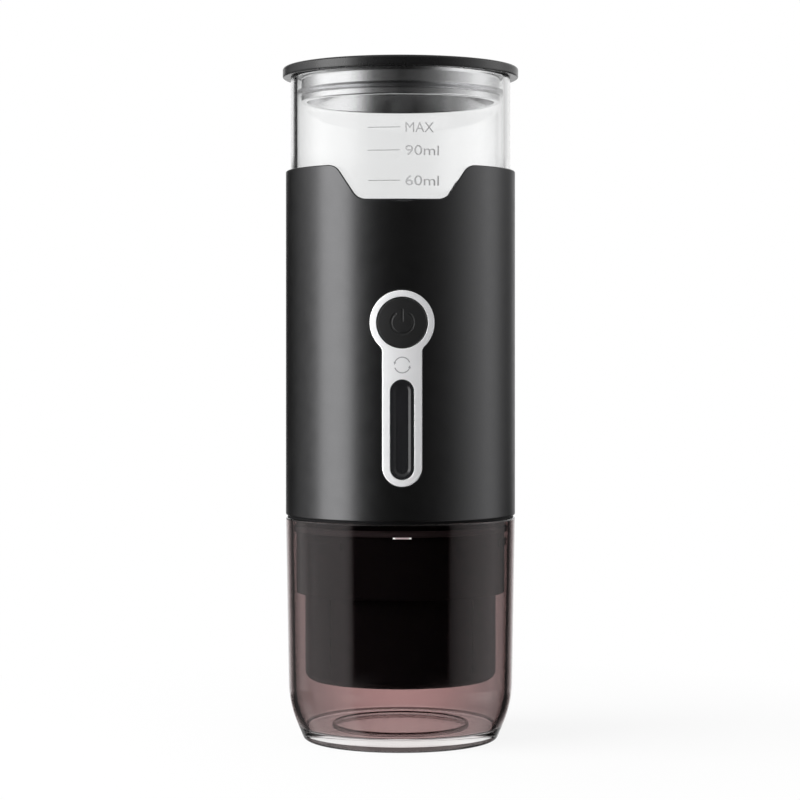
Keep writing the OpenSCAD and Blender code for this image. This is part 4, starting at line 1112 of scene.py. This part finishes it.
TENT_LOW = (
    (-180, 1.0), (-170, 1.0), (-160, 0.7), (-152, 0.1), (-147, 0.03), (-139, 0.08), (-130, 0.25),
    (-121, 0.6), (-113, 0.6), (-106, 0.5), (-99, 0.7), (-60, 0.7), (-55, 0.55), (-51, 0.3), (-49.5, 0.0),
    (49.5, 0.0), (51, 0.15), (58, 0.28), (77, 0.55), (90, 0.65), (106, 0.65), (118, 0.4), (126, 0.3),
    (131, 0.02), (148, 0.02), (153, 0.25), (158, 0.6), (164, 1.0),
)
# The cup's waist mirrors a wider flag on the right.
TENT_WAIST = TENT_MIDDLE[:-4] + ((120, 0.4), (130, 0.03), (158, 0.02), (166, 1.0))
# The hollow of the lid's plug mirrors what is low in front of the table.
TENT_HOLLOW = (
    (-180, 1.0), (-135, 1.2), (-120, 1.0), (-103, 0.8), (-89, 0.5), (-76, 0.33), (-65, 0.26),
    (-58, 0.12), (-44, 0.07), (-24, 0.03), (-14, 0.02), (0, 0.01), (12, 0.01), (24, 0.05), (34, 0.12),
    (44, 0.45), (54, 1.0), (65, 1.5), (76, 1.65), (103, 1.6), (120, 1.1), (140, 1.0),
)
# The flag right of the backdrop, as it shows through the edge of the cup.
TENT_THROUGH = ((-180, 1.0), (147, 1.0), (150, 0.0), (161, 0.0), (165, 1.0))


def after(tree, bounce, times=1):
    """1 for rays that have met so many of such bounces on their way from the camera."""
    path = tree.nodes.new("ShaderNodeLightPath")
    met = tree.nodes.new("ShaderNodeMath")
    met.operation = "GREATER_THAN"
    met.inputs[1].default_value = times - 0.5
    tree.links.new(path.outputs[bounce], met.inputs[0])
    return met.outputs["Value"]


def choose(tree, factor, yes, no):
    """One shader where the factor is 1 and another where it is 0."""
    mix = tree.nodes.new("ShaderNodeMixShader")
    tree.links.new(factor, mix.inputs["Fac"])
    tree.links.new(no, mix.inputs[1])
    tree.links.new(yes, mix.inputs[2])
    return mix.outputs["Shader"]


world = bpy.data.worlds.new("studio")
bpy.context.scene.world = world
world.use_nodes = True
sky = world.node_tree
sky.nodes.clear()
direction = sky.nodes.new("ShaderNodeSeparateXYZ")
forwards = sky.nodes.new("ShaderNodeMath")
forwards.operation = "MULTIPLY"
forwards.inputs[1].default_value = -1
azimuth = sky.nodes.new("ShaderNodeMath")
azimuth.operation = "ARCTAN2"
sky.links.new(sky.nodes.new("ShaderNodeTexCoord").outputs["Generated"], direction.inputs["Vector"])
sky.links.new(direction.outputs["Y"], forwards.inputs[0])
sky.links.new(direction.outputs["X"], azimuth.inputs[0])
sky.links.new(forwards.outputs["Value"], azimuth.inputs[1])
all_round = mapped(sky, azimuth.outputs["Value"], -math.pi, math.pi)


def backdrop(strength):
    """A plain white surround."""
    node = sky.nodes.new("ShaderNodeBackground")
    node.inputs["Color"].default_value = TENT_WHITE
    node.inputs["Strength"].default_value = strength
    return node.outputs["Background"]


def tent(levels):
    """A surround with the tent's brightness all round."""
    node = sky.nodes.new("ShaderNodeBackground")
    stops = [((degrees + 180) / 360, (level, level, level)) for degrees, level in levels]
    sky.links.new(shades(sky, all_round, stops), node.inputs["Color"])
    return node.outputs["Background"]


def climb(start, end):
    """0 to 1 as a ray points higher."""
    return mapped(sky, direction.outputs["Z"], start, end)


white, top, low = backdrop(1.0), tent(TENT_TOP), tent(TENT_LOW)
# The clear foot throws up what is below, and shows plain white.
over_foot = choose(sky, after(sky, "Transmission Depth"), white, top)
# The bands of the tent, upwards. Each takes over from the last one along a stretch of the ray's rise.
mirrored = low
for start, end, band in (
    (-0.34, -0.24, tent(TENT_WAIST)),
    (-0.18, -0.165, low),
    (-0.075, -0.062, tent(TENT_MIDDLE)),
    (0.074, 0.082, top),
    (0.128, 0.14, over_foot),
    (0.45, 0.65, backdrop(TENT_ROOF)),
):
    mirrored = choose(sky, climb(start, end), band, mirrored)
# What the lid's plug mirrors has crossed the tank's wall on its way in and out, which makes four faces.
# What is seen through both walls of the cup has crossed as many.
crossed = after(sky, "Transmission Depth", 4)
from_plug = choose(sky, climb(-0.05, 0.05), top, tent(TENT_HOLLOW))
mirrored = choose(sky, crossed, from_plug, mirrored)
past_cup = choose(sky, climb(-0.28, -0.25), tent(TENT_THROUGH), white)
past_cup = choose(sky, climb(-0.066, -0.06), white, past_cup)
direct = choose(sky, crossed, past_cup, white)
seen = choose(sky, after(sky, "Glossy Depth"), mirrored, direct)
seen = choose(sky, after(sky, "Diffuse Depth"), backdrop(TENT_AMBIENT), seen)
sky.links.new(seen, sky.nodes.new("ShaderNodeOutputWorld").inputs["Surface"])

aim = Vector((0, 0, 0.13))


def soft_box(name, azimuth, elevation, distance, size, radiance):
    """A lamp of a width and a height, at an azimuth from the camera to the right, turned to the object."""
    lamp = bpy.data.lights.new(name, "AREA")
    lamp.shape = "RECTANGLE"
    lamp.size, lamp.size_y = size
    lamp.energy = radiance * math.pi * size[0] * size[1]
    a, e = math.radians(azimuth), math.radians(elevation)
    place = Vector((math.sin(a) * math.cos(e), -math.cos(a) * math.cos(e), math.sin(e))) * distance
    box = bpy.data.objects.new(name, lamp)
    box.location = aim + place
    box.rotation_euler = (-place).to_track_quat("-Z", "Y").to_euler()
    box.visible_camera = False
    bpy.context.scene.collection.objects.link(box)
    return box


left_box = soft_box("left_box", azimuth=-67.5, elevation=0, distance=0.6, size=(0.40, 1.0), radiance=2.5)
right_box = soft_box("right_box", azimuth=100, elevation=0, distance=0.6, size=(0.26, 1.0), radiance=0.27)
key_box = soft_box("key_box", azimuth=-72, elevation=28, distance=0.9, size=(0.7, 0.7), radiance=8.2)
fill_box = soft_box("fill_box", azimuth=45, elevation=55, distance=1.0, size=(0.5, 0.5), radiance=0.3)
# The side boxes are flagged off the clear pieces and the steel plug, so that they don't blot them out.
lit_from_side = bpy.data.collections.new("lit_from_the_side")
for piece in bpy.context.scene.objects:
    if piece.type == "MESH" and piece not in (cup, tank, lid_plug, lid_seal):
        lit_from_side.objects.link(piece)
for lamp in (left_box, right_box):
    lamp.light_linking.receiver_collection = lit_from_side
for lamp in (key_box, fill_box):
    lamp.visible_glossy = False
    lamp.visible_transmission = False

# The table is white, but for a faint shadow round the object, and gloss looks past it to the tent.
floor_half = 3.0
table_tone = (0.9, 0.9, 0.9, 1)
table_gap = 0.05 * mm
shadow_share = 0.12
shadow_near, shadow_far = 0.05, 0.2
table = bpy.data.materials.new("table_white")
table.use_nodes = True
tree = table.node_tree
tree.nodes.clear()
bright = tree.nodes.new("ShaderNodeEmission")
shade = tree.nodes.new("ShaderNodeBsdfDiffuse")
shade.inputs["Color"].default_value = table_tone
unseen = tree.nodes.new("ShaderNodeBsdfTransparent")
away = tree.nodes.new("ShaderNodeVectorMath")
away.operation = "LENGTH"
tree.links.new(tree.nodes.new("ShaderNodeTexCoord").outputs["Object"], away.inputs[0])
shaded = mapped(tree, away.outputs["Value"], shadow_near, shadow_far, shadow_share, 0.0)
seen = choose(tree, shaded, shade.outputs["BSDF"], bright.outputs["Emission"])
seen = choose(tree, after(tree, "Glossy Depth"), unseen.outputs["BSDF"], seen)
seen = choose(tree, after(tree, "Diffuse Depth"), shade.outputs["BSDF"], seen)
tree.links.new(seen, tree.nodes.new("ShaderNodeOutputMaterial").inputs["Surface"])
corners = [(x * floor_half, y * floor_half, -table_gap) for x, y in ((-1, -1), (1, -1), (1, 1), (-1, 1))]
floor = link_mesh("table", corners, [(0, 1, 2, 3)], table)

# The camera stands level, a little left of the front, and its view is shifted down to the machine.
camera_data = bpy.data.cameras.new("camera")
camera_data.sensor_width = 36
camera_data.lens = 107.55
camera_data.shift_x = -0.0006
camera_data.shift_y = -0.06125
camera = bpy.data.objects.new("camera", camera_data)
camera.location = (-0.0105, -0.752, 0.1216)
camera.rotation_euler = (math.pi / 2, 0, math.atan2(camera.location.x, -camera.location.y))
bpy.context.scene.collection.objects.link(camera)
bpy.context.scene.camera = camera
bpy.context.scene.view_settings.view_transform = "Standard"
